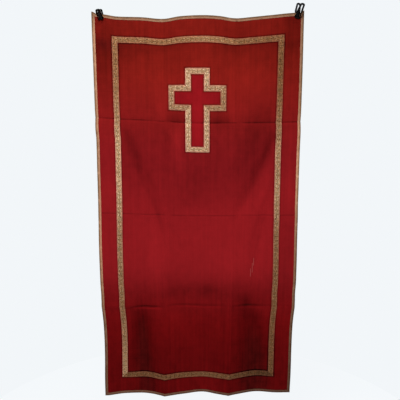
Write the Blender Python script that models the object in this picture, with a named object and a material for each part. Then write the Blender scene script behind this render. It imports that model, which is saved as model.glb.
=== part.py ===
"""A red church hanging with a woven galloon frame and cross, held up by two spring clips.

The cloth hangs in the plane of X and Z, and its decorated face looks along -Y.
A place on the cloth is given as metres across from its middle and metres down
from its top edge, as if it lay flat. hang() turns that place into a point of the
hanging, creased cloth, and every sewn piece follows the same function.
The origin is midway between the wire handles of the two clips.
"""

from functools import lru_cache
from math import cos, exp, radians, sin

import bmesh
import bpy
from mathutils import Euler, Vector

# Driving sizes of the cloth and what is sewn to it, in metres
CLOTH_WIDTH = 1.044
CLOTH_DROP = 2.000
CLOTH_THICK = 0.0012
BINDING_WIDTH = 0.014
GALLOON_WIDTH = 0.028
GALLOON_MARGIN = 0.095
GALLOON_THICK = 0.0012
SEWN_GAP = 0.0004
TOP_LEVEL = -0.045

# The cross of galloon
CROSS_MIDDLE = -0.003
CROSS_TOP = 0.240
CROSS_HEIGHT = 0.412
CROSS_SPAN = 0.290
CROSS_LIMB = 0.122
CROSS_HEAD = 0.079

# The clips
CLIP_LENGTH = 0.018
CLIP_HEIGHT = 0.034
CLIP_DEPTH = 0.016
CLIP_STEEL = 0.0008
CLIP_ZONE = 0.0185
CLIP_CLEARANCE = 0.0003
SHOULDER_TURN = 0.003
TWIST_REACH = 0.100
TWIST_LEVEL = 0.050
TWIST_FALL = 0.260
WIRE_RADIUS = 0.0031
WIRE_BORE = 0.0035
HANDLE_LENGTH = 0.073
HANDLE_FOOT = 0.0082
HANDLE_END_WIDTH = 0.0140
HANDLE_CLEARANCE = 0.0004
FOOT_BEND = 0.0035
END_BEND = 0.0052

HALF_WIDTH = CLOTH_WIDTH / 2
FACE = CLOTH_THICK / 2
SEAT = FACE + SEWN_GAP
GALLOON_FACE = SEAT + GALLOON_THICK
BINDING_THICK = 0.001
MITRE_GAP = 0.00025
LATTICE_STEP = 0.004
STEP_ACROSS = 0.042
STEP_DOWN = 0.050
SHARP_EDGE = radians(35)

# Each clip: side, place across, how far down its lips bite, turn about the upright, lean to the right,
# how far its front and back handles swing out
CLIPS = (
    ("left", -0.4765, 0.0262, radians(-3), radians(-11), (radians(63), radians(44))),
    ("right", 0.4855, 0.0256, radians(-8), radians(13), (radians(37), radians(14))),
)

# Folds that run down the cloth, one table each.
# Columns: down, across, height of the fold (forward is positive), half width
CREASES_DOWN = {
    "left third": (
        (0.00, -0.170, 0.004, 0.030),
        (0.10, -0.170, 0.004, 0.030),
        (0.47, -0.180, 0.011, 0.040),
        (0.60, -0.172, 0.005, 0.035),
        (1.00, -0.173, 0.005, 0.040),
        (1.45, -0.178, 0.014, 0.060),
        (1.62, -0.180, 0.027, 0.065),
        (2.00, -0.188, 0.030, 0.080),
    ),
    "right third": (
        (0.00, 0.180, 0.004, 0.030),
        (0.10, 0.180, 0.004, 0.030),
        (0.47, 0.185, 0.011, 0.040),
        (0.60, 0.182, 0.005, 0.035),
        (1.00, 0.182, 0.006, 0.040),
        (1.45, 0.182, 0.015, 0.060),
        (1.62, 0.180, 0.028, 0.065),
        (2.00, 0.172, 0.030, 0.080),
    ),
}
SOFT_FOLDS = {
    "left drag line": (
        (0.50, -0.395, 0.000, 0.030),
        (0.62, -0.350, -0.011, 0.032),
        (0.80, -0.281, -0.014, 0.036),
        (0.98, -0.218, -0.011, 0.032),
        (1.16, -0.182, -0.006, 0.026),
        (1.32, -0.178, 0.000, 0.024),
    ),
    "right drag line": (
        (0.50, 0.430, 0.000, 0.034),
        (0.63, 0.378, -0.011, 0.036),
        (0.80, 0.297, -0.014, 0.040),
        (0.95, 0.234, -0.008, 0.034),
        (1.08, 0.190, 0.000, 0.030),
    ),
    "second right drag line": (
        (0.80, 0.395, 0.000, 0.026),
        (0.94, 0.360, -0.008, 0.026),
        (1.13, 0.310, -0.009, 0.028),
        (1.26, 0.300, -0.004, 0.030),
        (1.40, 0.290, 0.000, 0.030),
    ),
    "pinch beside the cross": (
        (0.53, -0.158, 0.000, 0.014),
        (0.60, -0.158, -0.005, 0.014),
        (0.69, -0.156, 0.000, 0.014),
    ),
    "puff beside the cross": (
        (0.53, -0.125, 0.000, 0.024),
        (0.61, -0.105, 0.006, 0.024),
        (0.70, -0.074, 0.005, 0.022),
        (0.80, -0.050, 0.000, 0.022),
    ),
    "lower left valley": (
        (1.34, -0.295, 0.000, 0.050),
        (1.50, -0.300, -0.015, 0.050),
        (1.70, -0.302, -0.022, 0.060),
        (1.90, -0.300, -0.016, 0.068),
        (2.00, -0.310, -0.012, 0.075),
    ),
    "lower right valley": (
        (1.34, 0.252, 0.000, 0.050),
        (1.50, 0.270, -0.014, 0.052),
        (1.70, 0.312, -0.023, 0.066),
        (1.90, 0.335, -0.023, 0.074),
        (2.00, 0.340, -0.023, 0.080),
    ),
    "hem valley": (
        (1.70, 0.020, 0.000, 0.090),
        (1.88, 0.020, -0.010, 0.085),
        (2.00, 0.020, -0.022, 0.075),
    ),
    "left hem corner": (
        (1.80, -0.520, 0.000, 0.060),
        (2.00, -0.520, 0.018, 0.070),
    ),
    "right side edge": (
        (0.30, 0.520, 0.000, 0.050),
        (1.00, 0.520, 0.008, 0.060),
        (1.60, 0.520, 0.004, 0.060),
        (2.00, 0.520, -0.004, 0.060),
    ),
}

# Folds that run across the cloth: across, down, height, half width
CREASES_ACROSS = {
    "first quarter": (
        (-0.52, 0.500, -0.003, 0.030),
        (-0.18, 0.500, 0.000, 0.030),
        (-0.11, 0.500, -0.007, 0.034),
        (0.00, 0.500, -0.003, 0.030),
        (0.11, 0.500, -0.007, 0.034),
        (0.19, 0.500, 0.001, 0.030),
        (0.30, 0.500, -0.004, 0.030),
        (0.52, 0.500, -0.003, 0.030),
    ),
    "half way": (
        (-0.52, 1.000, 0.003, 0.026),
        (0.00, 1.000, 0.002, 0.024),
        (0.52, 1.000, 0.003, 0.026),
    ),
    "third quarter": (
        (-0.52, 1.500, 0.004, 0.030),
        (-0.30, 1.500, 0.009, 0.034),
        (-0.18, 1.500, 0.004, 0.030),
        (0.00, 1.500, 0.008, 0.034),
        (0.18, 1.500, 0.004, 0.030),
        (0.27, 1.500, 0.009, 0.034),
        (0.52, 1.500, 0.004, 0.030),
    ),
}
SOFT_BANDS = {
    "hollow over the third crease": (
        (-0.20, 1.435, 0.000, 0.045),
        (-0.11, 1.430, -0.009, 0.045),
        (0.00, 1.428, -0.008, 0.042),
        (0.06, 1.425, -0.013, 0.045),
        (0.12, 1.430, -0.006, 0.045),
        (0.19, 1.435, 0.000, 0.045),
    ),
}

# How far the cloth hangs below its level lines: across, at the top edge, at each quarter, at the hem
DROPS = (
    (-0.520, -0.017, -0.005, -0.013, -0.001, 0.008),
    (-0.500, -0.008, -0.005, -0.012, -0.001, 0.008),
    (-0.458, -0.004, -0.002, -0.011, -0.001, 0.006),
    (-0.400, 0.005, 0.002, -0.009, -0.001, 0.004),
    (-0.275, 0.009, 0.007, -0.005, -0.002, 0.006),
    (-0.172, 0.017, 0.013, -0.002, -0.008, 0.009),
    (-0.090, 0.004, 0.019, 0.001, -0.010, 0.005),
    (0.020, -0.001, 0.023, 0.002, -0.006, 0.003),
    (0.105, 0.003, 0.022, 0.002, -0.006, 0.006),
    (0.181, 0.014, 0.020, 0.001, -0.006, 0.005),
    (0.260, 0.008, 0.020, 0.000, -0.005, 0.003),
    (0.400, -0.005, 0.019, 0.000, -0.005, 0.004),
    (0.465, -0.011, 0.017, -0.001, -0.002, 0.003),
    (0.508, -0.014, 0.016, -0.002, -0.002, 0.002),
    (0.522, -0.024, 0.015, -0.002, -0.002, 0.002),
)
DROP_LEVELS = (0.0, 0.25 * CLOTH_DROP, 0.5 * CLOTH_DROP, 0.75 * CLOTH_DROP, CLOTH_DROP)


def curve_value(rows, at, column):
    """Read one column of a table along a smooth curve; the first column says where each row stands."""
    if at <= rows[0][0]:
        return rows[0][column]
    if at >= rows[-1][0]:
        return rows[-1][column]
    k = max(n for n in range(len(rows)) if rows[n][0] <= at)

    def slope(n):
        if n in (0, len(rows) - 1):
            return 0.0
        return (rows[n + 1][column] - rows[n - 1][column]) / (rows[n + 1][0] - rows[n - 1][0])

    span = rows[k + 1][0] - rows[k][0]
    t = (at - rows[k][0]) / span
    start, end = rows[k][column], rows[k + 1][column]
    rise = end - start
    bend = t * (1 - t) * ((1 - t) * (slope(k) * span - rise) + t * (rise - slope(k + 1) * span))
    return start + rise * t + bend


def eased(t):
    """Go smoothly from 0 to 1 as t does."""
    t = min(max(t, 0.0), 1.0)
    return t * t * (3 - 2 * t)


def crisp(t):
    """A pressed crease: sharp at its line, dying away to both sides."""
    return exp(-abs(t))


def soft(t):
    """A rounded fold."""
    return exp(-t * t)


@lru_cache(maxsize=None)
def folds_down_at(down):
    """Place, height, half width and form of each fold that crosses this level."""
    folds = []
    for tables, form in ((CREASES_DOWN, crisp), (SOFT_FOLDS, soft)):
        for rows in tables.values():
            height = curve_value(rows, down, 2)
            if abs(height) > 1e-6:
                folds.append((curve_value(rows, down, 1), height, curve_value(rows, down, 3), form))
    return folds


@lru_cache(maxsize=None)
def folds_across_at(across):
    """Level, height, half width and form of each crease and band that passes this place."""
    folds = []
    for tables, form in ((CREASES_ACROSS, crisp), (SOFT_BANDS, soft)):
        for rows in tables.values():
            level, height, reach = (curve_value(rows, across, column) for column in (1, 2, 3))
            folds.append((level, height, reach, form))
    return folds


def clip_twist(across, down):
    """The cloth is flat between a clip's lips, turned with them, and settles back around them."""
    push = 0.0
    for _, place, _, turn, _, _ in CLIPS:
        held = 1 - eased((abs(across - place) - CLIP_ZONE) / TWIST_REACH)
        above = 1 - eased((down - TWIST_LEVEL) / TWIST_FALL)
        push += sin(turn) * (across - place) * held * above
    return push


def forward(across, down):
    """How far the cloth stands in front of its plane at a place."""
    total = clip_twist(across, down)
    for centre, height, reach, form in folds_down_at(down):
        total += height * form((across - centre) / reach)
    for level, height, reach, form in folds_across_at(across):
        total += height * form((down - level) / reach)
    return total


@lru_cache(maxsize=None)
def lattice(down):
    """Sideways places of points LATTICE_STEP apart in the cloth, which draws in where it is folded."""
    count = round(HALF_WIDTH / LATTICE_STEP) + 2
    sides = {}
    for way in (-1, 1):
        places = [0.0]
        last = forward(0.0, down)
        for n in range(1, count + 1):
            depth = forward(way * n * LATTICE_STEP, down)
            run = (LATTICE_STEP ** 2 - min(abs(depth - last), 0.9 * LATTICE_STEP) ** 2) ** 0.5
            places.append(places[-1] + way * run)
            last = depth
        sides[way] = places
    return sides


def sideways(across, down):
    """The X of a place on the cloth."""
    way = -1 if across < 0 else 1
    places = lattice(down)[way]
    steps = abs(across) / LATTICE_STEP
    n = min(int(steps), len(places) - 2)
    return places[n] + (places[n + 1] - places[n]) * (steps - n)


def drop(across, down):
    """How far a place hangs below its level line."""
    levels = [(DROP_LEVELS[n], curve_value(DROPS, across, n + 1)) for n in range(len(DROP_LEVELS))]
    return curve_value(levels, down, 1)


@lru_cache(maxsize=None)
def hang(across, down):
    """The middle of the cloth's thickness at a place."""
    return Vector((sideways(across, down), -forward(across, down), TOP_LEVEL - down - drop(across, down)))


@lru_cache(maxsize=None)
def facing(across, down):
    """The direction that the decorated face looks in at a place."""
    step = 0.001
    along = hang(across + step, down) - hang(across - step, down)
    fall = hang(across, down + step) - hang(across, down - step)
    return fall.cross(along).normalized()


def spaced_lines(keys, longest):
    """The key lines in order, with more between them where they are further apart than the longest step."""
    keys = sorted({round(key, 6) for key in keys})
    lines = []
    for low, high in zip(keys, keys[1:]):
        parts = max(1, int((high - low) / longest + 0.999))
        lines += [low + (high - low) * n / parts for n in range(parts)]
    return lines + [keys[-1]]


# Where the sewn pieces, creases and clips put a line of the cloth's mesh
FOLD_LINES = [-0.300, -0.195, -0.176, -0.160, 0.163, 0.180, 0.198, 0.310]
BESIDE_CREASE = 0.022
GALLOON_OUT = HALF_WIDTH - GALLOON_MARGIN
GALLOON_IN = GALLOON_OUT - GALLOON_WIDTH
CROSS_ACROSS = [CROSS_MIDDLE + way * (half - inset)
                for half in (CROSS_LIMB / 2, CROSS_SPAN / 2)
                for inset in (0, GALLOON_WIDTH)
                for way in (-1, 1)]
ARM_TOP = CROSS_TOP + CROSS_HEAD
ARM_FOOT = ARM_TOP + CROSS_LIMB
CROSS_FOOT = CROSS_TOP + CROSS_HEIGHT
KEY_ACROSS = [way * place for way in (-1, 1)
              for place in (HALF_WIDTH, HALF_WIDTH - BINDING_WIDTH, GALLOON_OUT, GALLOON_IN)]
KEY_ACROSS += CROSS_ACROSS
KEY_ACROSS += [clip[1] + way * CLIP_ZONE for clip in CLIPS for way in (-1, 1)]
KEY_ACROSS += FOLD_LINES
EDGE_LEVELS = (0.0, BINDING_WIDTH, GALLOON_MARGIN, GALLOON_MARGIN + GALLOON_WIDTH)
KEY_DOWN = [*EDGE_LEVELS, TWIST_LEVEL]
KEY_DOWN += [CLOTH_DROP - level for level in EDGE_LEVELS]
KEY_DOWN += [CROSS_TOP, CROSS_TOP + GALLOON_WIDTH, ARM_TOP, ARM_TOP + GALLOON_WIDTH]
KEY_DOWN += [ARM_FOOT - GALLOON_WIDTH, ARM_FOOT, CROSS_FOOT - GALLOON_WIDTH, CROSS_FOOT]
KEY_DOWN += [level + step for level in DROP_LEVELS[1:4] for step in (-BESIDE_CREASE, 0.0, BESIDE_CREASE)]
ACROSS = spaced_lines(KEY_ACROSS, STEP_ACROSS)
DOWN = spaced_lines(KEY_DOWN, STEP_DOWN)


def split_face(corners):
    """Cut a four-cornered face along the diagonal that the mitred corners of the galloon follow."""
    middle_across = sum(place[0] for place in corners) / 4
    middle_down = sum(place[1] for place in corners) / 4
    first = min(range(4), key=lambda n: corners[n][0] + corners[n][1])
    outward = (middle_across < CROSS_MIDDLE) == (middle_down < ARM_TOP + CROSS_LIMB / 2)
    start = first if outward else first + 1
    turned = [corners[(start + n) % 4] for n in range(4)]
    return (turned[0], turned[1], turned[2]), (turned[0], turned[2], turned[3])


class Skin:
    """Collects faces whose corners are places on the cloth, each lifted off its middle surface."""

    def __init__(self):
        self.mesh = bmesh.new()
        self.points = {}

    def point(self, place):
        """The vertex at (across, down, lift)."""
        key = tuple(round(value, 6) for value in place)
        if key not in self.points:
            across, down, lift = key
            spot = hang(across, down) + facing(across, down) * lift
            self.points[key] = self.mesh.verts.new(spot)
        return self.points[key]

    def face(self, corners):
        """Add a face, as triangles, leaving out corners that fall together."""
        kept = []
        for corner in corners:
            key = tuple(round(value, 6) for value in corner)
            if key not in kept:
                kept.append(key)
        if len(kept) == 4:
            for triangle in split_face(kept):
                self.mesh.faces.new([self.point(corner) for corner in triangle])
        elif len(kept) == 3:
            self.mesh.faces.new([self.point(corner) for corner in kept])

    def finish(self, name, material):
        """Turn all faces outward and make the object."""
        bmesh.ops.recalc_face_normals(self.mesh, faces=self.mesh.faces)
        mesh = bpy.data.meshes.new(name)
        self.mesh.to_mesh(mesh)
        self.mesh.free()
        mesh.shade_smooth()
        mesh.set_sharp_from_angle(angle=SHARP_EDGE)
        piece = bpy.data.objects.new(name, mesh)
        piece.data.materials.append(material)
        bpy.context.scene.collection.objects.link(piece)
        return piece


def make_material(name, colour, roughness, metallic):
    """A plain Principled finish."""
    material = bpy.data.materials.new(name)
    material.use_nodes = True
    shader = material.node_tree.nodes["Principled BSDF"]
    shader.inputs["Base Color"].default_value = (*colour, 1.0)
    shader.inputs["Roughness"].default_value = roughness
    shader.inputs["Metallic"].default_value = metallic
    return material


def sheet(name, cells, near, far, material):
    """One closed sheet over the given cells of the cloth's mesh, from one lift to another."""
    skin = Skin()
    for i, j in cells:
        left, right = ACROSS[i], ACROSS[i + 1]
        upper, lower = DOWN[j], DOWN[j + 1]
        ring = ((left, upper), (right, upper), (right, lower), (left, lower))
        for lift in (near, far):
            skin.face([(*place, lift) for place in ring])
        beside = ((i, j - 1), (i + 1, j), (i, j + 1), (i - 1, j))
        for n, neighbour in enumerate(beside):
            if neighbour not in cells:
                start, end = ring[n], ring[(n + 1) % 4]
                skin.face([(*start, near), (*end, near), (*end, far), (*start, far)])
    return skin.finish(name, material)


def edge_strip(name, side, margin, profile, material):
    """A strip sewn round the cloth at a margin from its edge, cut off on the mitre at both ends.

    The profile is a closed outline of (distance in from the strip's outer line, lift off the cloth).
    """
    level = side in ("top", "bottom")
    low, high = (-HALF_WIDTH, HALF_WIDTH) if level else (0.0, CLOTH_DROP)
    edge = {"top": 0.0, "bottom": CLOTH_DROP, "left": -HALF_WIDTH, "right": HALF_WIDTH}[side]
    inward = 1 if side in ("top", "left") else -1
    lines = ACROSS if level else DOWN
    stations = [line for line in lines if low + margin <= line + 1e-9 <= high - margin + 2e-9]

    def place(station, inset, lift):
        short = margin + inset + MITRE_GAP
        along = min(max(station, low + short), high - short)
        if station in (stations[0], stations[-1]):
            along = low + short if station == stations[0] else high - short
        out = edge + inward * (margin + inset)
        return (along, out, lift) if level else (out, along, lift)

    skin = Skin()
    for start, end in zip(stations, stations[1:]):
        for (inset, lift), (next_inset, next_lift) in zip(profile, profile[1:] + profile[:1]):
            skin.face([place(start, inset, lift), place(end, inset, lift),
                       place(end, next_inset, next_lift), place(start, next_inset, next_lift)])
    for station in (stations[0], stations[-1]):
        half = len(profile) // 2
        for n in range(half - 1):
            skin.face([place(station, *profile[n]), place(station, *profile[n + 1]),
                       place(station, *profile[-n - 2]), place(station, *profile[-n - 1])])
    return skin.finish(name, material)


def rounded_route(corners, radius, steps):
    """A route through the given points, with the inner corners turned on an arc."""
    route = [corners[0]]
    for before, corner, after in zip(corners, corners[1:], corners[2:]):
        back = (before - corner).normalized()
        ahead = (after - corner).normalized()
        half = back.angle(ahead) / 2
        bisector = (back + ahead).normalized()
        centre = corner + bisector * (radius / sin(half))
        start = corner + back * (radius * cos(half) / sin(half)) - centre
        end = corner + ahead * (radius * cos(half) / sin(half)) - centre
        sweep = start.angle(end)
        for n in range(steps + 1):
            share = n / steps
            spoke = (start * sin((1 - share) * sweep) + end * sin(share * sweep)) / sin(sweep)
            route.append(centre + spoke)
    route.append(corners[-1])
    return route


def make_cloth(material):
    """The red ground: one width of cloth."""
    cells = {(i, j) for i in range(len(ACROSS) - 1) for j in range(len(DOWN) - 1)}
    return sheet("cloth", cells, -FACE, FACE, material)


def make_bindings(material):
    """The narrow braid folded over each edge of the cloth."""
    near, far = SEAT, SEAT + BINDING_THICK
    wrap_in, wrap_out = -SEWN_GAP, -SEWN_GAP - BINDING_THICK
    profile = [(BINDING_WIDTH, far), (wrap_out, far), (wrap_out, -far), (BINDING_WIDTH, -far),
               (BINDING_WIDTH, -near), (wrap_in, -near), (wrap_in, near), (BINDING_WIDTH, near)]
    for side in ("top", "bottom", "left", "right"):
        edge_strip("binding_" + side, side, 0.0, profile, material)


def make_frame(material):
    """The four lengths of galloon that frame the field, meeting on the mitre."""
    profile = [(0.0, GALLOON_FACE), (GALLOON_WIDTH, GALLOON_FACE), (GALLOON_WIDTH, SEAT), (0.0, SEAT)]
    for side in ("top", "bottom", "left", "right"):
        edge_strip("frame_galloon_" + side, side, GALLOON_MARGIN, profile, material)


def in_cross(across, down, inset):
    """Whether a place lies inside the cross, drawn in by the inset."""
    beside = abs(across - CROSS_MIDDLE)
    stem = beside < CROSS_LIMB / 2 - inset and CROSS_TOP + inset < down < CROSS_FOOT - inset
    arms = beside < CROSS_SPAN / 2 - inset and ARM_TOP + inset < down < ARM_FOOT - inset
    return stem or arms


def make_cross(material):
    """One length of galloon turned at twelve corners into a cross."""
    cells = set()
    for i in range(len(ACROSS) - 1):
        for j in range(len(DOWN) - 1):
            middle = ((ACROSS[i] + ACROSS[i + 1]) / 2, (DOWN[j] + DOWN[j + 1]) / 2)
            if in_cross(*middle, 0.0) and not in_cross(*middle, GALLOON_WIDTH):
                cells.add((i, j))
    return sheet("cross_galloon", cells, SEAT, GALLOON_FACE, material)


def clip_section():
    """The outline of a clip's bent steel, seen along its lips: two walls, a back and two curled lips."""
    curl = WIRE_BORE + CLIP_STEEL / 2
    curl_out = FACE + CLIP_CLEARANCE + CLIP_STEEL / 2 + curl
    centre = Vector((0, -curl_out, curl + CLIP_STEEL / 2))
    shoulder = Vector((0, -CLIP_DEPTH / 2 + CLIP_STEEL / 2, CLIP_HEIGHT - CLIP_STEEL / 2))
    half = []
    for n in range(11):
        angle = radians(110) + n * radians(250) / 10
        half.append(centre + curl * Vector((0, cos(angle), sin(angle))))
    up = (shoulder - half[-1]).normalized() * SHOULDER_TURN
    inward = Vector((0, SHOULDER_TURN, 0))
    half += [shoulder - up, shoulder + (inward - up) * 0.35, shoulder + inward]
    middle_line = half + [Vector((0, -point.y, point.z)) for point in reversed(half)]
    outline = []
    for side in (1, -1):
        edge = []
        for n, point in enumerate(middle_line):
            before = middle_line[max(n - 1, 0)]
            after = middle_line[min(n + 1, len(middle_line) - 1)]
            arrive = (point - before).normalized() if n else (after - point).normalized()
            leave = (after - point).normalized() if after != point else arrive
            normal = Vector((0, -(arrive + leave).z, (arrive + leave).y)).normalized()
            reach = CLIP_STEEL / 2 / max(normal.dot(Vector((0, -arrive.z, arrive.y))), 0.5)
            edge.append(point + normal * (side * reach))
        outline += edge if side == 1 else list(reversed(edge))
    return outline, centre


def make_clip(side, place, bite, turn, lean, swings, steel, wire):
    """A spring clip with its two wire handles turned up, its lips closed on the top edge of the cloth."""
    stand = bpy.data.objects.new("clip_stand_" + side, None)
    bpy.context.scene.collection.objects.link(stand)
    stand.location = hang(place, bite)
    stand.rotation_euler = (Euler((0, 0, -turn)).to_matrix() @ Euler((0, lean, 0)).to_matrix()).to_euler()

    outline, curl_centre = clip_section()
    body = bmesh.new()
    ring = [body.verts.new(point + Vector((-CLIP_LENGTH / 2, 0, 0))) for point in outline]
    end = body.faces.new(ring)
    grown = bmesh.ops.extrude_face_region(body, geom=[end])
    moved = [item for item in grown["geom"] if isinstance(item, bmesh.types.BMVert)]
    bmesh.ops.translate(body, verts=moved, vec=(CLIP_LENGTH, 0, 0))
    bmesh.ops.triangulate(body, faces=[face for face in body.faces if len(face.verts) > 4])
    bmesh.ops.recalc_face_normals(body, faces=body.faces)
    mesh = bpy.data.meshes.new("clip_body_" + side)
    body.to_mesh(mesh)
    body.free()
    mesh.shade_smooth()
    mesh.set_sharp_from_angle(angle=SHARP_EDGE)
    piece = bpy.data.objects.new("clip_body_" + side, mesh)
    piece.data.materials.append(steel)
    piece.parent = stand
    bpy.context.scene.collection.objects.link(piece)

    foot = CLIP_LENGTH / 2 + HANDLE_CLEARANCE + WIRE_RADIUS
    half_end = HANDLE_END_WIDTH / 2
    corners = [Vector((-foot + HANDLE_FOOT, 0, 0)), Vector((-foot, 0, 0)),
               Vector((-half_end, 0, HANDLE_LENGTH)), Vector((half_end, 0, HANDLE_LENGTH)),
               Vector((foot, 0, 0)), Vector((foot - HANDLE_FOOT, 0, 0))]
    left_foot = rounded_route(corners[:3], FOOT_BEND, 4)
    far_end = rounded_route(corners[1:5], END_BEND, 5)
    right_foot = rounded_route(corners[3:], FOOT_BEND, 4)
    route = left_foot[:-1] + far_end[1:-1] + right_foot[1:]
    for facing_way, word, swing in ((1, "front", swings[0]), (-1, "back", swings[1])):
        name = "clip_handle_" + side + "_" + word
        curve = bpy.data.curves.new(name, "CURVE")
        curve.dimensions = "3D"
        curve.bevel_depth = WIRE_RADIUS
        curve.bevel_resolution = 2
        curve.use_fill_caps = True
        spline = curve.splines.new("POLY")
        spline.points.add(len(route) - 1)
        for point, spot in zip(spline.points, route):
            point.co = (*spot, 1)
        handle = bpy.data.objects.new(name, curve)
        handle.data.materials.append(wire)
        handle.parent = stand
        handle.location = (0, facing_way * curl_centre.y, curl_centre.z)
        handle.rotation_euler = (facing_way * swing, 0, 0)
        bpy.context.scene.collection.objects.link(handle)


def build():
    for old in list(bpy.data.objects):
        bpy.data.objects.remove(old, do_unlink=True)
    ground = make_material("red_rep", (0.26, 0.012, 0.016), 0.85, 0.0)
    woven_gold = make_material("gold_galloon", (0.36, 0.20, 0.09), 0.55, 0.25)
    edge_braid = make_material("edge_braid", (0.42, 0.23, 0.13), 0.65, 0.15)
    black_steel = make_material("black_steel", (0.012, 0.012, 0.013), 0.35, 0.6)
    black_wire = make_material("black_wire", (0.02, 0.02, 0.022), 0.3, 0.8)
    make_cloth(ground)
    make_bindings(edge_braid)
    make_frame(woven_gold)
    make_cross(woven_gold)
    for clip in CLIPS:
        make_clip(*clip, black_steel, black_wire)


build()
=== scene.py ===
from math import cos, pi, radians, sin, tau

import bmesh
import bpy
import numpy as np
from mathutils import Euler, Matrix, Vector


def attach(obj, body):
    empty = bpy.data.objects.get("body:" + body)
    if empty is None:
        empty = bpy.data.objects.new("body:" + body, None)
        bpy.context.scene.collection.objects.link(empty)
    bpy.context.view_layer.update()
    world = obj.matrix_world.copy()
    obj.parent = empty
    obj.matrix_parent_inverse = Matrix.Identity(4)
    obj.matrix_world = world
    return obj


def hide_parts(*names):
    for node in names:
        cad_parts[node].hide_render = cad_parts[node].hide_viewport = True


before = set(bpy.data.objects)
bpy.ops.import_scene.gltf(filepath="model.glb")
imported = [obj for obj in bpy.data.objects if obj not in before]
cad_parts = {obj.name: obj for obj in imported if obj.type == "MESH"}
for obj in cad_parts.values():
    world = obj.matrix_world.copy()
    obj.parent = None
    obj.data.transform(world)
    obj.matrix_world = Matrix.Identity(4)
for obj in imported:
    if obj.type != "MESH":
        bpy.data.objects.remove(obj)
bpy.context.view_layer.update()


# The ground cloth: one width of heavy red rep, hung by its two top corners after lying
# folded in thirds and quarters. A place on it is given as metres across from its middle
# and metres down from its top edge, as it was cut; hang() says where that place stands.
CLOTH_WIDTH = 1.044
CLOTH_DROP = 2.000
CLOTH_THICK = 0.0012
HALF_WIDTH = CLOTH_WIDTH / 2
FACE = CLOTH_THICK / 2
TOP_LEVEL = -0.045
LATTICE_STEP = 0.002

# Folds that run down the cloth. Columns: down, across, height (forward is positive), half width
CREASES_DOWN = {
    "left third": (
        (0.00, -0.170, 0.004, 0.030),
        (0.10, -0.170, 0.004, 0.030),
        (0.47, -0.180, 0.011, 0.040),
        (0.60, -0.172, 0.005, 0.035),
        (1.00, -0.173, 0.005, 0.040),
        (1.45, -0.178, 0.014, 0.060),
        (1.62, -0.180, 0.027, 0.065),
        (2.00, -0.188, 0.030, 0.080),
    ),
    "right third": (
        (0.00, 0.180, 0.004, 0.030),
        (0.10, 0.180, 0.004, 0.030),
        (0.47, 0.185, 0.011, 0.040),
        (0.60, 0.182, 0.005, 0.035),
        (1.00, 0.182, 0.006, 0.040),
        (1.45, 0.182, 0.015, 0.060),
        (1.62, 0.180, 0.028, 0.065),
        (2.00, 0.172, 0.030, 0.080),
    ),
}
SOFT_FOLDS = {
    "left drag line": (
        (0.50, -0.395, 0.000, 0.030),
        (0.62, -0.350, -0.011, 0.032),
        (0.80, -0.281, -0.014, 0.036),
        (0.98, -0.218, -0.011, 0.032),
        (1.16, -0.182, -0.006, 0.026),
        (1.32, -0.178, 0.000, 0.024),
    ),
    "right drag line": (
        (0.50, 0.430, 0.000, 0.034),
        (0.63, 0.378, -0.011, 0.036),
        (0.80, 0.297, -0.014, 0.040),
        (0.95, 0.234, -0.008, 0.034),
        (1.08, 0.190, 0.000, 0.030),
    ),
    "second right drag line": (
        (0.80, 0.395, 0.000, 0.026),
        (0.94, 0.360, -0.008, 0.026),
        (1.13, 0.310, -0.009, 0.028),
        (1.26, 0.300, -0.004, 0.030),
        (1.40, 0.290, 0.000, 0.030),
    ),
    "pinch beside the cross": (
        (0.53, -0.158, 0.000, 0.014),
        (0.60, -0.158, -0.005, 0.014),
        (0.69, -0.156, 0.000, 0.014),
    ),
    "puff beside the cross": (
        (0.53, -0.125, 0.000, 0.024),
        (0.61, -0.105, 0.006, 0.024),
        (0.70, -0.074, 0.005, 0.022),
        (0.80, -0.050, 0.000, 0.022),
    ),
    "lower left valley": (
        (1.34, -0.295, 0.000, 0.050),
        (1.50, -0.300, -0.015, 0.050),
        (1.70, -0.302, -0.022, 0.060),
        (1.90, -0.300, -0.016, 0.068),
        (2.00, -0.310, -0.012, 0.075),
    ),
    "lower right valley": (
        (1.34, 0.252, 0.000, 0.050),
        (1.50, 0.270, -0.014, 0.052),
        (1.70, 0.312, -0.023, 0.066),
        (1.90, 0.335, -0.023, 0.074),
        (2.00, 0.340, -0.023, 0.080),
    ),
    "hem valley": (
        (1.70, 0.020, 0.000, 0.090),
        (1.88, 0.020, -0.010, 0.085),
        (2.00, 0.020, -0.022, 0.075),
    ),
    "left hem corner": (
        (1.80, -0.520, 0.000, 0.060),
        (2.00, -0.520, 0.018, 0.070),
    ),
    "right side edge": (
        (0.30, 0.520, 0.000, 0.050),
        (1.00, 0.520, 0.008, 0.060),
        (1.60, 0.520, 0.004, 0.060),
        (2.00, 0.520, -0.004, 0.060),
    ),
}
# Folds that run across the cloth. Columns: across, down, height, half width
CREASES_ACROSS = {
    "first quarter": (
        (-0.52, 0.500, -0.003, 0.030),
        (-0.18, 0.500, 0.000, 0.030),
        (-0.11, 0.500, -0.007, 0.034),
        (0.00, 0.500, -0.003, 0.030),
        (0.11, 0.500, -0.007, 0.034),
        (0.19, 0.500, 0.001, 0.030),
        (0.30, 0.500, -0.004, 0.030),
        (0.52, 0.500, -0.003, 0.030),
    ),
    "half way": (
        (-0.52, 1.000, 0.003, 0.026),
        (0.00, 1.000, 0.002, 0.024),
        (0.52, 1.000, 0.003, 0.026),
    ),
    "third quarter": (
        (-0.52, 1.500, 0.004, 0.030),
        (-0.30, 1.500, 0.009, 0.034),
        (-0.18, 1.500, 0.004, 0.030),
        (0.00, 1.500, 0.008, 0.034),
        (0.18, 1.500, 0.004, 0.030),
        (0.27, 1.500, 0.009, 0.034),
        (0.52, 1.500, 0.004, 0.030),
    ),
}
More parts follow.
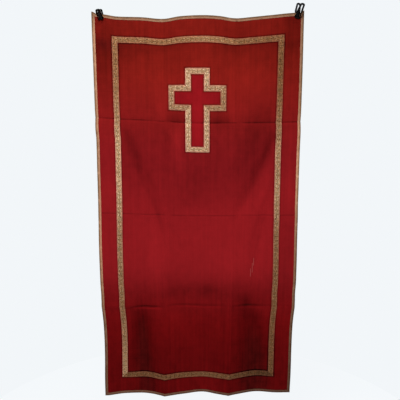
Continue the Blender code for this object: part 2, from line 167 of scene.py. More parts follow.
SOFT_BANDS = {
    "hollow over the third crease": (
        (-0.20, 1.435, 0.000, 0.045),
        (-0.11, 1.430, -0.009, 0.045),
        (0.00, 1.428, -0.008, 0.042),
        (0.06, 1.425, -0.013, 0.045),
        (0.12, 1.430, -0.006, 0.045),
        (0.19, 1.435, 0.000, 0.045),
    ),
}
# How far the cloth hangs below its level lines: across, at the top edge, at each quarter, at the hem
DROPS = (
    (-0.520, -0.017, -0.005, -0.013, -0.001, 0.008),
    (-0.500, -0.008, -0.005, -0.012, -0.001, 0.008),
    (-0.458, -0.004, -0.002, -0.011, -0.001, 0.006),
    (-0.400, 0.005, 0.002, -0.009, -0.001, 0.004),
    (-0.275, 0.009, 0.007, -0.005, -0.002, 0.006),
    (-0.172, 0.017, 0.013, -0.002, -0.008, 0.009),
    (-0.090, 0.004, 0.019, 0.001, -0.010, 0.005),
    (0.020, -0.001, 0.023, 0.002, -0.006, 0.003),
    (0.105, 0.003, 0.022, 0.002, -0.006, 0.006),
    (0.181, 0.014, 0.020, 0.001, -0.006, 0.005),
    (0.260, 0.008, 0.020, 0.000, -0.005, 0.003),
    (0.400, -0.005, 0.019, 0.000, -0.005, 0.004),
    (0.465, -0.011, 0.017, -0.001, -0.002, 0.003),
    (0.508, -0.014, 0.016, -0.002, -0.002, 0.002),
    (0.522, -0.024, 0.015, -0.002, -0.002, 0.002),
)
QUARTER = CLOTH_DROP / 4

# The sharp lines that the folding pressed in, on top of the wide creases
PRESSED_ACROSS = {
    "first quarter": (
        (-0.52, 0.500, -0.0012, 0.005),
        (-0.21, 0.500, -0.0012, 0.005),
        (-0.18, 0.500, 0.0000, 0.005),
        (-0.14, 0.501, -0.0026, 0.006),
        (-0.07, 0.501, -0.0030, 0.006),
        (0.00, 0.500, -0.0020, 0.005),
        (0.09, 0.500, -0.0030, 0.006),
        (0.15, 0.500, -0.0028, 0.006),
        (0.185, 0.500, 0.0000, 0.005),
        (0.22, 0.499, -0.0014, 0.005),
        (0.52, 0.500, -0.0012, 0.005),
    ),
    "half way": (
        (-0.52, 1.000, -0.0010, 0.004),
        (0.00, 1.000, -0.0007, 0.004),
        (0.52, 1.000, -0.0010, 0.004),
    ),
    "third quarter": (
        (-0.52, 1.518, -0.0014, 0.006),
        (-0.42, 1.516, -0.0014, 0.006),
        (-0.36, 1.507, -0.0022, 0.007),
        (-0.30, 1.503, -0.0042, 0.009),
        (-0.22, 1.503, -0.0040, 0.008),
        (-0.18, 1.501, -0.0004, 0.006),
        (-0.12, 1.497, -0.0026, 0.008),
        (0.00, 1.497, -0.0038, 0.009),
        (0.12, 1.498, -0.0030, 0.008),
        (0.18, 1.498, -0.0006, 0.006),
        (0.27, 1.498, -0.0038, 0.009),
        (0.52, 1.497, -0.0022, 0.006),
    ),
    "third quarter's upper line": (
        (-0.52, 1.476, -0.0018, 0.006),
        (-0.44, 1.477, -0.0018, 0.006),
        (-0.39, 1.478, 0.0000, 0.006),
        (0.36, 1.484, 0.0000, 0.006),
        (0.44, 1.484, -0.0012, 0.006),
        (0.52, 1.484, -0.0012, 0.006),
    ),
}
PRESSED_DOWN_HEIGHT = 0.0006
PRESSED_DOWN_REACH = 0.005
SMALL_FOLDS = {
    "small slanting fold": (
        (1.07, -0.136, 0.000, 0.011),
        (1.12, -0.118, -0.003, 0.011),
        (1.20, -0.090, -0.003, 0.012),
        (1.25, -0.075, 0.000, 0.012),
    ),
    "short fold by the crease": (
        (0.56, -0.158, 0.000, 0.006),
        (0.61, -0.158, -0.002, 0.006),
        (0.66, -0.157, 0.000, 0.006),
    ),
    "first pucker at the left crossing": (
        (1.455, -0.193, 0.000, 0.005),
        (1.500, -0.191, 0.0035, 0.005),
        (1.545, -0.192, 0.000, 0.005),
    ),
    "second pucker at the left crossing": (
        (1.465, -0.170, 0.000, 0.005),
        (1.505, -0.170, 0.0030, 0.005),
        (1.540, -0.171, 0.000, 0.005),
    ),
    "pucker at the right crossing": (
        (1.455, 0.184, 0.000, 0.006),
        (1.505, 0.183, 0.0035, 0.006),
        (1.560, 0.182, 0.000, 0.006),
    ),
}
CREASE_ROUNDING = 0.0016
CALM_BY_CLIPS = 0.03

# How bright the red is painted from the top to the hem: painted light and shade, darker towards the hem.
# Columns: down, share of its plain brightness
RED_LEVELS = (
    (0.00, 0.73),
    (0.12, 0.73),
    (0.20, 0.80),
    (0.28, 0.95),
    (0.44, 1.00),
    (0.60, 0.97),
    (0.74, 1.00),
    (0.80, 1.07),
    (0.90, 1.24),
    (1.04, 1.40),
    (1.16, 1.47),
    (1.28, 1.46),
    (1.36, 1.26),
    (1.44, 1.00),
    (1.52, 0.94),
    (1.64, 0.81),
    (1.76, 0.68),
    (1.84, 0.62),
    (2.00, 0.58),
)
# Painted light on the rises of the red (positive) and painted shade in its hollows and folds, as a share of
# its brightness. Columns: down, across, share, half width
PAINTED_SHADING_DOWN = {
    "right of the upper crease": (
        (0.12, 0.245, 0.00, 0.05),
        (0.20, 0.250, 0.11, 0.07),
        (0.30, 0.250, 0.18, 0.08),
        (0.38, 0.240, 0.10, 0.06),
        (0.46, 0.230, 0.09, 0.03),
        (0.53, 0.222, 0.12, 0.022),
        (0.60, 0.220, 0.00, 0.02),
    ),
    "left hem hollow": (
        (1.42, -0.290, 0.00, 0.050),
        (1.50, -0.315, -0.22, 0.050),
        (1.58, -0.315, -0.50, 0.054),
        (1.70, -0.312, -0.53, 0.056),
        (1.86, -0.305, -0.46, 0.056),
        (2.00, -0.288, -0.36, 0.055),
    ),
    "right hem hollow": (
        (1.40, 0.255, 0.00, 0.040),
        (1.50, 0.265, -0.34, 0.045),
        (1.60, 0.300, -0.42, 0.085),
        (1.75, 0.315, -0.46, 0.095),
        (1.90, 0.320, -0.44, 0.095),
        (2.00, 0.330, -0.42, 0.100),
    ),
    "beside the right third": (
        (1.42, 0.125, 0.00, 0.022),
        (1.52, 0.138, -0.16, 0.022),
        (1.66, 0.135, -0.18, 0.026),
        (1.80, 0.112, -0.10, 0.030),
        (1.92, 0.100, 0.00, 0.030),
    ),
    "left drag hollow": (
        (0.50, -0.395, 0.00, 0.025),
        (0.60, -0.358, -0.16, 0.024),
        (0.70, -0.325, -0.24, 0.026),
        (0.80, -0.290, -0.20, 0.022),
        (0.90, -0.250, -0.13, 0.018),
        (1.00, -0.212, -0.18, 0.013),
        (1.10, -0.185, -0.10, 0.012),
        (1.24, -0.178, 0.00, 0.012),
    ),
    "right drag hollow": (
        (0.50, 0.400, 0.00, 0.030),
        (0.62, 0.365, -0.14, 0.022),
        (0.70, 0.335, -0.22, 0.022),
        (0.80, 0.297, -0.22, 0.020),
        (0.90, 0.255, -0.14, 0.018),
        (1.00, 0.215, 0.00, 0.018),
    ),
    "right slack": (
        (0.36, 0.380, 0.00, 0.070),
        (0.46, 0.350, -0.20, 0.075),
        (0.54, 0.310, -0.26, 0.080),
        (0.64, 0.270, -0.24, 0.060),
        (0.74, 0.235, -0.12, 0.045),
        (0.84, 0.215, 0.00, 0.040),
    ),
    "right rise": (
        (0.66, 0.395, 0.00, 0.030),
        (0.78, 0.365, 0.20, 0.035),
        (0.90, 0.345, 0.24, 0.035),
        (1.04, 0.330, 0.06, 0.040),
        (1.16, 0.320, 0.00, 0.040),
    ),
    "second right drag hollow": (
        (0.92, 0.372, 0.00, 0.012),
        (1.00, 0.350, -0.12, 0.012),
        (1.12, 0.322, -0.14, 0.012),
        (1.24, 0.298, -0.12, 0.014),
        (1.36, 0.290, 0.00, 0.014),
    ),
    "top of the left side": (
        (0.00, -0.475, -0.18, 0.075),
        (0.14, -0.470, -0.22, 0.080),
        (0.26, -0.465, -0.30, 0.075),
        (0.38, -0.460, -0.14, 0.065),
        (0.50, -0.455, 0.00, 0.060),
    ),
    "left side": (
        (0.44, -0.470, 0.00, 0.050),
        (0.60, -0.468, 0.20, 0.055),
        (0.85, -0.466, 0.24, 0.055),
        (1.05, -0.466, 0.00, 0.050),
    ),
    "right side": (
        (0.00, 0.485, -0.24, 0.075),
        (0.14, 0.485, -0.12, 0.075),
        (0.28, 0.480, -0.12, 0.065),
        (0.46, 0.475, 0.00, 0.060),
        (0.60, 0.472, 0.18, 0.055),
        (0.85, 0.470, 0.25, 0.055),
        (1.02, 0.466, 0.00, 0.050),
        (1.18, 0.466, -0.14, 0.050),
        (1.38, 0.466, -0.16, 0.050),
        (1.52, 0.466, 0.00, 0.050),
    ),
    "left of the cross": (
        (0.22, -0.170, 0.00, 0.050),
        (0.32, -0.175, 0.10, 0.050),
        (0.44, -0.182, 0.22, 0.035),
        (0.50, -0.178, 0.10, 0.030),
        (0.56, -0.170, 0.00, 0.030),
    ),
    "right of the cross": (
        (0.22, 0.185, 0.00, 0.040),
        (0.34, 0.175, 0.08, 0.045),
        (0.44, 0.182, 0.18, 0.030),
        (0.50, 0.190, 0.10, 0.030),
        (0.58, 0.180, 0.00, 0.030),
    ),
    "within the cross": (
        (0.16, 0.010, 0.00, 0.080),
        (0.22, 0.010, 0.14, 0.070),
        (0.30, 0.000, 0.08, 0.050),
        (0.44, 0.000, 0.24, 0.040),
        (0.60, 0.000, 0.32, 0.034),
        (0.68, 0.000, 0.00, 0.034),
    ),
    "left of the cross's foot": (
        (0.50, -0.105, 0.00, 0.030),
        (0.56, -0.102, 0.28, 0.030),
        (0.64, -0.105, 0.36, 0.028),
        (0.72, -0.095, 0.20, 0.030),
        (0.80, -0.080, 0.00, 0.030),
    ),
    "below the cross": (
        (0.68, 0.000, 0.00, 0.100),
        (0.80, 0.000, -0.10, 0.120),
        (0.92, -0.020, -0.10, 0.120),
        (1.00, -0.020, 0.00, 0.120),
    ),
    "left rise": (
        (0.98, -0.235, 0.00, 0.045),
        (1.10, -0.230, 0.10, 0.045),
        (1.24, -0.225, 0.14, 0.045),
        (1.38, -0.225, 0.10, 0.045),
        (1.46, -0.225, 0.00, 0.040),
    ),
    "top middle": (
        (0.00, 0.030, 0.12, 0.100),
        (0.14, 0.030, 0.20, 0.090),
        (0.24, 0.030, 0.00, 0.080),
    ),
    "third quarter's right half": (
        (0.84, 0.200, 0.00, 0.120),
        (1.00, 0.200, 0.09, 0.150),
        (1.30, 0.200, 0.09, 0.150),
        (1.44, 0.200, 0.00, 0.120),
    ),
    "low ridge": (
        (1.48, -0.120, 0.00, 0.050),
        (1.56, -0.120, 0.10, 0.070),
        (1.70, -0.060, 0.08, 0.080),
        (1.84, 0.000, 0.04, 0.070),
        (1.94, 0.050, 0.20, 0.070),
        (2.00, 0.050, 0.26, 0.070),
    ),
}
# The same across the cloth. Columns: across, down, share, half width
PAINTED_SHADING_ACROSS = {
    "under the frame": (
        (-0.42, 0.140, -0.25, 0.045),
        (-0.34, 0.150, -0.26, 0.045),
        (-0.24, 0.140, -0.12, 0.025),
        (-0.15, 0.138, -0.20, 0.020),
        (0.00, 0.135, -0.06, 0.020),
        (0.14, 0.138, -0.22, 0.020),
        (0.22, 0.135, -0.08, 0.020),
        (0.40, 0.138, -0.16, 0.025),
    ),
    "dark line of the third crease": (
        (-0.52, 1.518, -0.14, 0.005),
        (-0.40, 1.514, -0.12, 0.005),
        (-0.34, 1.504, -0.22, 0.005),
        (-0.30, 1.502, -0.42, 0.006),
        (-0.23, 1.502, -0.42, 0.006),
        (-0.19, 1.501, -0.04, 0.004),
        (-0.13, 1.497, -0.26, 0.005),
        (0.09, 1.497, -0.26, 0.005),
        (0.17, 1.498, -0.06, 0.004),
        (0.22, 1.498, -0.30, 0.005),
        (0.34, 1.498, -0.30, 0.005),
        (0.44, 1.497, -0.08, 0.004),
        (0.52, 1.497, -0.08, 0.004),
    ),
    "light line under the third crease": (
        (-0.37, 1.514, 0.00, 0.005),
        (-0.32, 1.514, 0.30, 0.005),
        (-0.22, 1.514, 0.34, 0.005),
        (-0.18, 1.512, 0.00, 0.005),
        (-0.10, 1.508, 0.16, 0.005),
        (0.10, 1.508, 0.16, 0.005),
        (0.18, 1.510, 0.00, 0.005),
        (0.30, 1.511, 0.26, 0.005),
        (0.38, 1.511, 0.00, 0.005),
    ),
    "over the third crease": (
        (-0.20, 1.430, 0.00, 0.035),
        (-0.13, 1.435, -0.15, 0.035),
        (-0.03, 1.430, -0.12, 0.035),
        (0.05, 1.425, -0.30, 0.035),
        (0.11, 1.430, -0.16, 0.035),
        (0.18, 1.440, -0.04, 0.030),
        (0.26, 1.470, -0.16, 0.032),
        (0.34, 1.490, 0.00, 0.030),
    ),
    "under the cross's left arm": (
        (-0.18, 0.485, 0.00, 0.028),
        (-0.11, 0.485, -0.18, 0.032),
        (-0.05, 0.485, 0.00, 0.030),
    ),
    "under the cross's right arm": (
        (0.04, 0.490, 0.00, 0.030),
        (0.10, 0.492, -0.24, 0.034),
        (0.14, 0.492, -0.22, 0.032),
        (0.19, 0.490, 0.00, 0.026),
    ),
}

# Each clip: side, place across, how far down its lips bite, turn about the upright, lean to the right,
# how far its front and back handles swing out
CLIPS = (
    ("left", -0.4765, 0.0262, radians(-3), radians(-11), (radians(63), radians(44))),
    ("right", 0.4855, 0.0256, radians(-8), radians(13), (radians(37), radians(14))),
)
CLIP_ZONE = 0.0185
TWIST_REACH = 0.100
TWIST_LEVEL = 0.050
TWIST_FALL = 0.260


def curve_value(rows, at, column):
    """Read a column of a table along a smooth curve; the first column says where each row stands."""
    table = np.array(rows)
    stand, value = table[:, 0], table[:, column]
    slope = np.zeros(len(stand))
    slope[1:-1] = (value[2:] - value[:-2]) / (stand[2:] - stand[:-2])
    at = np.clip(at, stand[0], stand[-1])
    k = np.clip(np.searchsorted(stand, at, side="right") - 1, 0, len(stand) - 2)
    span = stand[k + 1] - stand[k]
    rise = value[k + 1] - value[k]
    t = (at - stand[k]) / span
    bend = t * (1 - t) * ((1 - t) * (slope[k] * span - rise) + t * (rise - slope[k + 1] * span))
    return value[k] + rise * t + bend


def eased(t):
    """A smooth step from 0 to 1."""
    t = np.clip(t, 0.0, 1.0)
    return t * t * (3 - 2 * t)


def crisp(away, reach):
    """A pressed crease: nearly sharp at its line, dying away to both sides."""
    return np.exp((CREASE_ROUNDING - np.sqrt(away * away + CREASE_ROUNDING ** 2)) / reach)


def soft(away, reach):
    """A rounded fold."""
    return np.exp(-(away / reach) ** 2)


def forward(across, down):
    """How far the cloth's main folds stand in front of its plane."""
    total = np.zeros(np.broadcast(across, down).shape)
    for _, place, _, turn, _, _ in CLIPS:
        held = 1 - eased((np.abs(across - place) - CLIP_ZONE) / TWIST_REACH)
        above = 1 - eased((down - TWIST_LEVEL) / TWIST_FALL)
        total = total + sin(turn) * (across - place) * held * above
    for tables, form in ((CREASES_DOWN, crisp), (SOFT_FOLDS, soft)):
        for rows in tables.values():
            centre, height, reach = (curve_value(rows, down, column) for column in (1, 2, 3))
            total = total + height * form(across - centre, reach)
    for tables, form in ((CREASES_ACROSS, crisp), (SOFT_BANDS, soft)):
        for rows in tables.values():
            level, height, reach = (curve_value(rows, across, column) for column in (1, 2, 3))
            total = total + height * form(down - level, reach)
    return total


def fine_forward(across, down):
    """The sharp pressed lines, small folds and slackness of the cloth, which end short of the clips."""
    total = np.zeros(np.broadcast(across, down).shape)
    for rows in PRESSED_ACROSS.values():
        level, height, reach = (curve_value(rows, across, column) for column in (1, 2, 3))
        total += height * crisp(down - level, reach)
    for rows in SMALL_FOLDS.values():
        centre, height, reach = (curve_value(rows, down, column) for column in (1, 2, 3))
        total += height * soft(across - centre, reach)
    for rows in CREASES_DOWN.values():
        total += PRESSED_DOWN_HEIGHT * crisp(across - curve_value(rows, down, 1), PRESSED_DOWN_REACH)
    total += 0.0010 * np.sin(tau * (across / 0.31 + 0.21 * np.sin(tau * down / 1.7)) + 0.6)
    total += 0.0007 * np.sin(tau * (across / 0.173 - down / 1.9) + 2.1) * np.sin(tau * down / 0.86 + 0.4)
    total += 0.0006 * np.sin(tau * (across / 0.47 + down / 0.39) + 1.3)
    free = np.ones(total.shape)
    for _, place, _, _, _, _ in CLIPS:
        outside = np.maximum(np.abs(across - place) - CLIP_ZONE, down - TWIST_LEVEL)
        free *= eased(outside / CALM_BY_CLIPS)
    return total * free


def drop(across, down):
    """How far places hang below their level lines."""
    falls = [curve_value(DROPS, across, n + 1) for n in range(5)]
    slopes = [0 * falls[0]] + [(falls[n + 1] - falls[n - 1]) / 2 for n in (1, 2, 3)] + [0 * falls[0]]
    total = np.zeros(np.broadcast(across, down).shape)
    for k in range(4):
        t = down / QUARTER - k
        here = (t >= 0) & (t < 1) | (t < 0) & (k == 0) | (t >= 1) & (k == 3)
        t = np.clip(t, 0, 1)
        rise = falls[k + 1] - falls[k]
        bend = t * (1 - t) * ((1 - t) * (slopes[k] - rise) + t * (rise - slopes[k + 1]))
        total = total + here * (falls[k] + rise * t + bend)
    return total


def painted_shading(across, down):
    """How much brighter or darker than its plain red the cloth is painted: painted light and shade."""
    total = np.zeros(np.broadcast(across, down).shape)
    for rows in PAINTED_SHADING_DOWN.values():
        centre, share, reach = (curve_value(rows, down, column) for column in (1, 2, 3))
        total += share * soft(across - centre, reach)
    for rows in PAINTED_SHADING_ACROSS.values():
        level, share, reach = (curve_value(rows, across, column) for column in (1, 2, 3))
        total += share * soft(down - level, reach)
    return curve_value(RED_LEVELS, down, 1) * (1 + total) - 1


# The hanging cloth and the direction it faces in, worked out once on a close lattice
BEYOND = 3
MIDDLE = round(HALF_WIDTH / LATTICE_STEP) + BEYOND
across_lattice = LATTICE_STEP * np.arange(-MIDDLE, MIDDLE + 1)[None, :]
down_lattice = LATTICE_STEP * np.arange(-BEYOND, round(CLOTH_DROP / LATTICE_STEP) + BEYOND + 1)[:, None]
main_folds = forward(across_lattice, down_lattice)
hanging = np.zeros((*main_folds.shape, 3))
rise = np.minimum(np.abs(np.diff(main_folds, axis=1)), 0.9 * LATTICE_STEP)
hanging[:, 1:, 0] = np.cumsum(np.sqrt(LATTICE_STEP ** 2 - rise ** 2), axis=1)
hanging[:, :, 0] -= hanging[:, MIDDLE:MIDDLE + 1, 0].copy()
hanging[:, :, 1] = -main_folds - fine_forward(across_lattice, down_lattice)
hanging[:, :, 2] = TOP_LEVEL - down_lattice - drop(across_lattice, down_lattice)
facings = np.cross(np.gradient(hanging, axis=0), np.gradient(hanging, axis=1))
facings /= np.linalg.norm(facings, axis=2)[:, :, None]


def look_up(table, across, down):
    """Read a table of the hanging cloth at places between the points of the lattice."""
    row, column = down / LATTICE_STEP + BEYOND, across / LATTICE_STEP + MIDDLE
    i = np.clip(row.astype(int), 0, table.shape[0] - 2)
    j = np.clip(column.astype(int), 0, table.shape[1] - 2)
    t, s = (row - i)[:, None], (column - j)[:, None]
    upper = table[i, j] * (1 - s) + table[i, j + 1] * s
    lower = table[i + 1, j] * (1 - s) + table[i + 1, j + 1] * s
    return upper * (1 - t) + lower * t


def hang(across, down):
    """Where places on the cloth stand as it hangs: points in the middle of its thickness."""
    return look_up(hanging, across, down)


def facing(across, down):
    """The direction that the decorated face looks in at each place."""
    normal = look_up(facings, across, down)
    return normal / np.linalg.norm(normal, axis=1)[:, None]


def spaced_lines(keys, longest):
    """The key lines in order, with more between them where they are further apart than the longest step."""
    keys = sorted({round(key, 6) for key in keys})
    lines = []
    for low, high in zip(keys, keys[1:]):
        parts = max(1, int((high - low) / longest + 0.999))
        lines += [low + (high - low) * n / parts for n in range(parts)]
    return np.array(lines + [keys[-1]])


def fabric(name, patches, thickness, material):
    """Weave a closed piece of fabric from patches, each a grid whose corners go where it says.

    A patch is its lines one way, its lines the other way, and a function of both that gives
    across, down, lift off the cloth's middle, the two places in the weave, and its brightness.
    """
    mesh = bmesh.new()
    weave = mesh.loops.layers.uv.new("UVMap")
    # The second map carries the painted light and shade of each place, and how far down it is
    shading_layer = mesh.loops.layers.uv.new("Wear")
    for first, second, place in patches:
        known = len(mesh.faces)
        made = bmesh.ops.create_grid(mesh, x_segments=len(first) - 1, y_segments=len(second) - 1, size=0.5)
        flat = np.array([vert.co[:2] for vert in made["verts"]]) + 0.5
        a = first[np.rint(flat[:, 0] * (len(first) - 1)).astype(int)]
        b = second[np.rint(flat[:, 1] * (len(second) - 1)).astype(int)]
        across, down, lift, s, t, tone = place(a, b)
        normals = facing(across, down)
        spots = hang(across, down) + normals * lift[:, None]
        threads = {}
        for vert, spot, spun, scuffs_and_shading in zip(made["verts"], spots, zip(s, t), zip(tone, down)):
            vert.co = spot
            threads[vert] = spun, scuffs_and_shading
        mesh.faces.ensure_lookup_table()
        faces = mesh.faces[known:]
        for face in faces:
            for loop in face.loops:
                loop[weave].uv, loop[shading_layer].uv = threads[loop.vert]
        faces[0].normal_update()
        if faces[0].normal.dot(Vector(normals[0])) < 0:
            bmesh.ops.reverse_faces(mesh, faces=faces)
    bmesh.ops.remove_doubles(mesh, verts=mesh.verts, dist=0.00002)
    mesh.normal_update()
    bmesh.ops.solidify(mesh, geom=list(mesh.faces), thickness=thickness)
    return finished(name, mesh, material)


def finished(name, mesh, material):
    """Turn the faces outward, shade the piece and put it in the scene."""
    bmesh.ops.recalc_face_normals(mesh, faces=mesh.faces)
    data = bpy.data.meshes.new(name)
    mesh.to_mesh(data)
    mesh.free()
    data.shade_smooth()
    data.set_sharp_from_angle(angle=radians(40))
    data.materials.append(material)
    piece = bpy.data.objects.new(name, data)
    bpy.context.scene.collection.objects.link(piece)
    return piece


def new_material(name):
    """A material, its nodes and its shader."""
    material = bpy.data.materials.new(name)
    material.use_nodes = True
    return material, material.node_tree, material.node_tree.nodes["Principled BSDF"]


def calc(tree, operation, *values):
    """A Math node; each value is a number or another node's output."""
    node = tree.nodes.new("ShaderNodeMath")
    node.operation = operation
    for socket, value in zip(node.inputs, values):
        if isinstance(value, (int, float)):
            socket.default_value = value
        else:
            tree.links.new(value, socket)
    return node.outputs[0]


def times(tree, a, b):
    return calc(tree, "MULTIPLY", a, b)


def plus(tree, a, b):
    return calc(tree, "ADD", a, b)


def minus(tree, a, b):
    return calc(tree, "SUBTRACT", a, b)


def between(tree, value, low, high):
    """0 below low, 1 above high, smooth between; low may be the larger, which turns it round."""
    node = tree.nodes.new("ShaderNodeMapRange")
    node.interpolation_type = "SMOOTHSTEP"
    tree.links.new(value, node.inputs["Value"])
    if low < high:
        node.inputs["From Min"].default_value, node.inputs["From Max"].default_value = low, high
        return node.outputs["Result"]
    node.inputs["From Min"].default_value, node.inputs["From Max"].default_value = high, low
    node.inputs["To Min"].default_value, node.inputs["To Max"].default_value = 1.0, 0.0
    return node.outputs["Result"]


def blend(tree, share, first, second):
    """Mix two colours, each four numbers or another node's output."""
    node = tree.nodes.new("ShaderNodeMix")
    node.data_type = "RGBA"
    for socket, value in ((node.inputs[0], share), (node.inputs[6], first), (node.inputs[7], second)):
        if isinstance(value, (int, float, tuple)):
            socket.default_value = value
        else:
            tree.links.new(value, socket)
    return node.outputs[2]


def threads_noise(tree, weave, scale, detail, stretch):
    """Noise drawn out along the threads: stretch is the count per metre across and down."""
    mapping = tree.nodes.new("ShaderNodeMapping")
    tree.links.new(weave, mapping.inputs["Vector"])
    mapping.inputs["Scale"].default_value = (*stretch, 1.0)
    noise = tree.nodes.new("ShaderNodeTexNoise")
    tree.links.new(mapping.outputs["Vector"], noise.inputs["Vector"])
    noise.inputs["Scale"].default_value = scale
    noise.inputs["Detail"].default_value = detail
    return noise.outputs["Fac"]


def weave_places(tree, layer="UVMap"):
    """A map of the piece: its places in the weave in metres, or its painted light and shade and how far down
    it is.
    """
    uv = tree.nodes.new("ShaderNodeUVMap")
    uv.uv_map = layer
    parts = tree.nodes.new("ShaderNodeSeparateXYZ")
    tree.links.new(uv.outputs["UV"], parts.inputs[0])
    return uv.outputs["UV"], parts.outputs[0], parts.outputs[1]


def brightened(tree, colour, share):
    """The colour times a share of its brightness."""
    node = tree.nodes.new("ShaderNodeVectorMath")
    node.operation = "SCALE"
    tree.links.new(colour, node.inputs[0])
    tree.links.new(share, node.inputs["Scale"])
    return node.outputs[0]


def wobble(tree, noise, amount):
    """Noise turned into a small change to both sides of nothing."""
    return times(tree, minus(tree, noise, 0.5), amount)


def box_distance(tree, across, down, box):
    """How far outside an upright box a place is, negative inside; box: middle across, down, half sizes."""
    sides = [minus(tree, calc(tree, "ABSOLUTE", minus(tree, place, middle)), half)
             for place, middle, half in ((across, box[0], box[2]), (down, box[1], box[3]))]
    return calc(tree, "MAXIMUM", *sides)


def bump(tree, shader, height, distance, strength):
    """Raise the surface by a height; distance is how far in metres."""
    node = tree.nodes.new("ShaderNodeBump")
    tree.links.new(height, node.inputs["Height"])
    node.inputs["Distance"].default_value = distance
    node.inputs["Strength"].default_value = strength
    tree.links.new(node.outputs["Normal"], shader.inputs["Normal"])


# The edges of the sewn-on galloon, along which a painted shadow lies: sets of boxes that join
GALLOON_EDGES = (
    ((0.0, 1.0, 0.427, 0.905),),
    ((0.0, 1.0, 0.399, 0.877),),
    ((-0.003, 0.446, 0.061, 0.206), (-0.003, 0.380, 0.145, 0.061)),
    ((-0.003, 0.446, 0.033, 0.178), (-0.003, 0.380, 0.117, 0.033)),
)
# Where the long creases break the lines of the level ones
CREASE_CROSSINGS = (-0.155, 0.212)
# Painted shade in the level creases and a painted highlight just under them: down, how dark, how light
CREASE_SHADE_LINES = ((0.501, 0.44, 0.05), (1.0, 0.36, 0.05))
LIGHT_BELOW = 0.0095
# Where something has rubbed the red pale: boxes too
RUBBED_STREAKS = (
    (0.296, 1.258, 0.0007, 0.020),
    (0.289, 1.290, 0.0008, 0.026),
    (0.280, 1.316, 0.0007, 0.022),
)
TOP_RED = (0.255, 0.0118, 0.0072, 1.0)
MIDDLE_RED = (0.255, 0.0092, 0.0118, 1.0)
HEM_RED = (0.255, 0.0052, 0.0062, 1.0)
# The deeper red of the darkest painted shade
DEEP_SHADE_RED = (0.255, 0.0140, 0.0125, 1.0)
CROSS_RED = (0.275, 0.0070, 0.0105, 1.0)
RUBBED_RED = (0.46, 0.17, 0.15, 1.0)
# How uneven the red is: detail, count per metre across and down, share of its brightness
UNEVENNESS = {
    "slubs": (2.0, (190.0, 3.0), 0.20),
    "fine threads": (2.0, (620.0, 60.0), 0.22),
    "weft": (2.0, (7.0, 330.0), 0.20),
    "clouds": (3.0, (5.0, 3.4), 0.30),
    "streaks": (2.0, (75.0, 2.2), 0.34),
    "mottle": (3.0, (30.0, 22.0), 0.36),
}
RIB_PITCH = 0.0016
PICK_PITCH = 0.0009


def red_rep():
    """Deep red rep: fine ribs, with painted light on its rises, painted shade in its hollows and creases, and
    painted darker towards the hem.
    """
    material, tree, shader = new_material("red_rep")
    weave, across, down = weave_places(tree)
    # The cloth's painted light and shade, read from its second map
    tone = weave_places(tree, "Wear")[1]
    normal = tree.nodes.new("ShaderNodeSeparateXYZ")
    tree.links.new(tree.nodes.new("ShaderNodeTexCoord").outputs["Normal"], normal.inputs[0])
    front = between(tree, normal.outputs["Y"], 0.1, -0.1)
    share = plus(tree, tone, 1.0)
    noises = {}
    for kind, (detail, stretch, amount) in UNEVENNESS.items():
        noises[kind] = threads_noise(tree, weave, 1.0, detail, stretch)
        share = plus(tree, share, wobble(tree, noises[kind], amount))
    unbroken = 1.0
    for crossing in CREASE_CROSSINGS:
        beside = calc(tree, "ABSOLUTE", minus(tree, across, crossing))
        unbroken = times(tree, between(tree, beside, 0.008, 0.024), unbroken)
    # Painted shade along each level crease and a painted highlight just under it
    for level, dark, light in CREASE_SHADE_LINES:
        patchy = between(tree, threads_noise(tree, weave, 1.0, 2.0, (11.0, 2.0)), 0.30, 0.58)
        off = minus(tree, down, level)
        line = between(tree, calc(tree, "ABSOLUTE", off), 0.0050, 0.0008)
        off_light = calc(tree, "ABSOLUTE", minus(tree, off, LIGHT_BELOW))
        below = between(tree, off_light, 0.0060, 0.0010)
        line = times(tree, line, -dark)
        line = calc(tree, "MULTIPLY_ADD", below, light, line)
        line = times(tree, line, calc(tree, "MULTIPLY_ADD", unbroken, 0.75, 0.25))
        line = times(tree, line, calc(tree, "MULTIPLY_ADD", patchy, 0.6, 0.4))
        share = plus(tree, share, line)
    # A painted shadow along the galloon's edges, fainter on the back
    for boxes in GALLOON_EDGES:
        apart = box_distance(tree, across, down, boxes[0])
        for box in boxes[1:]:
            apart = calc(tree, "MINIMUM", apart, box_distance(tree, across, down, box))
        line = between(tree, calc(tree, "ABSOLUTE", apart), 0.0105, 0.0025)
        edge_shadow = calc(tree, "MULTIPLY_ADD", front, 0.26, 0.06)
        share = minus(tree, share, times(tree, line, edge_shadow))
    share = calc(tree, "MAXIMUM", share, 0.05)
    red = blend(tree, between(tree, down, 0.15, 0.75), TOP_RED, MIDDLE_RED)
    red = blend(tree, between(tree, down, 1.30, 1.65), red, HEM_RED)
    # Where the painted shade is darkest the red is deeper
    red = blend(tree, between(tree, tone, -0.45, -0.80), red, DEEP_SHADE_RED)
    red = blend(tree, between(tree, apart, -0.001, -0.010), red, CROSS_RED)
    for streak in RUBBED_STREAKS:
        pale = between(tree, box_distance(tree, across, down, streak), 0.0010, -0.0004)
        pale = times(tree, times(tree, pale, front), 0.34)
        red = blend(tree, pale, red, RUBBED_RED)
    tree.links.new(brightened(tree, red, share), shader.inputs["Base Color"])
    ribs = calc(tree, "SINE", times(tree, across, tau / RIB_PITCH))
    picks = calc(tree, "SINE", times(tree, down, tau / PICK_PITCH))
    height = calc(tree, "MULTIPLY_ADD", ribs, 0.5, times(tree, picks, 0.18))
    height = calc(tree, "MULTIPLY_ADD", noises["slubs"], 0.7, height)
    bump(tree, shader, height, 0.00020, 0.45)
    tree.links.new(calc(tree, "MULTIPLY_ADD", noises["slubs"], 0.12, 0.78), shader.inputs["Roughness"])
    shader.inputs["Specular IOR Level"].default_value = 0.02
    return material


LEFT_THIRD, RIGHT_THIRD = -0.176, 0.182
FOLLOW_REACH = 0.060


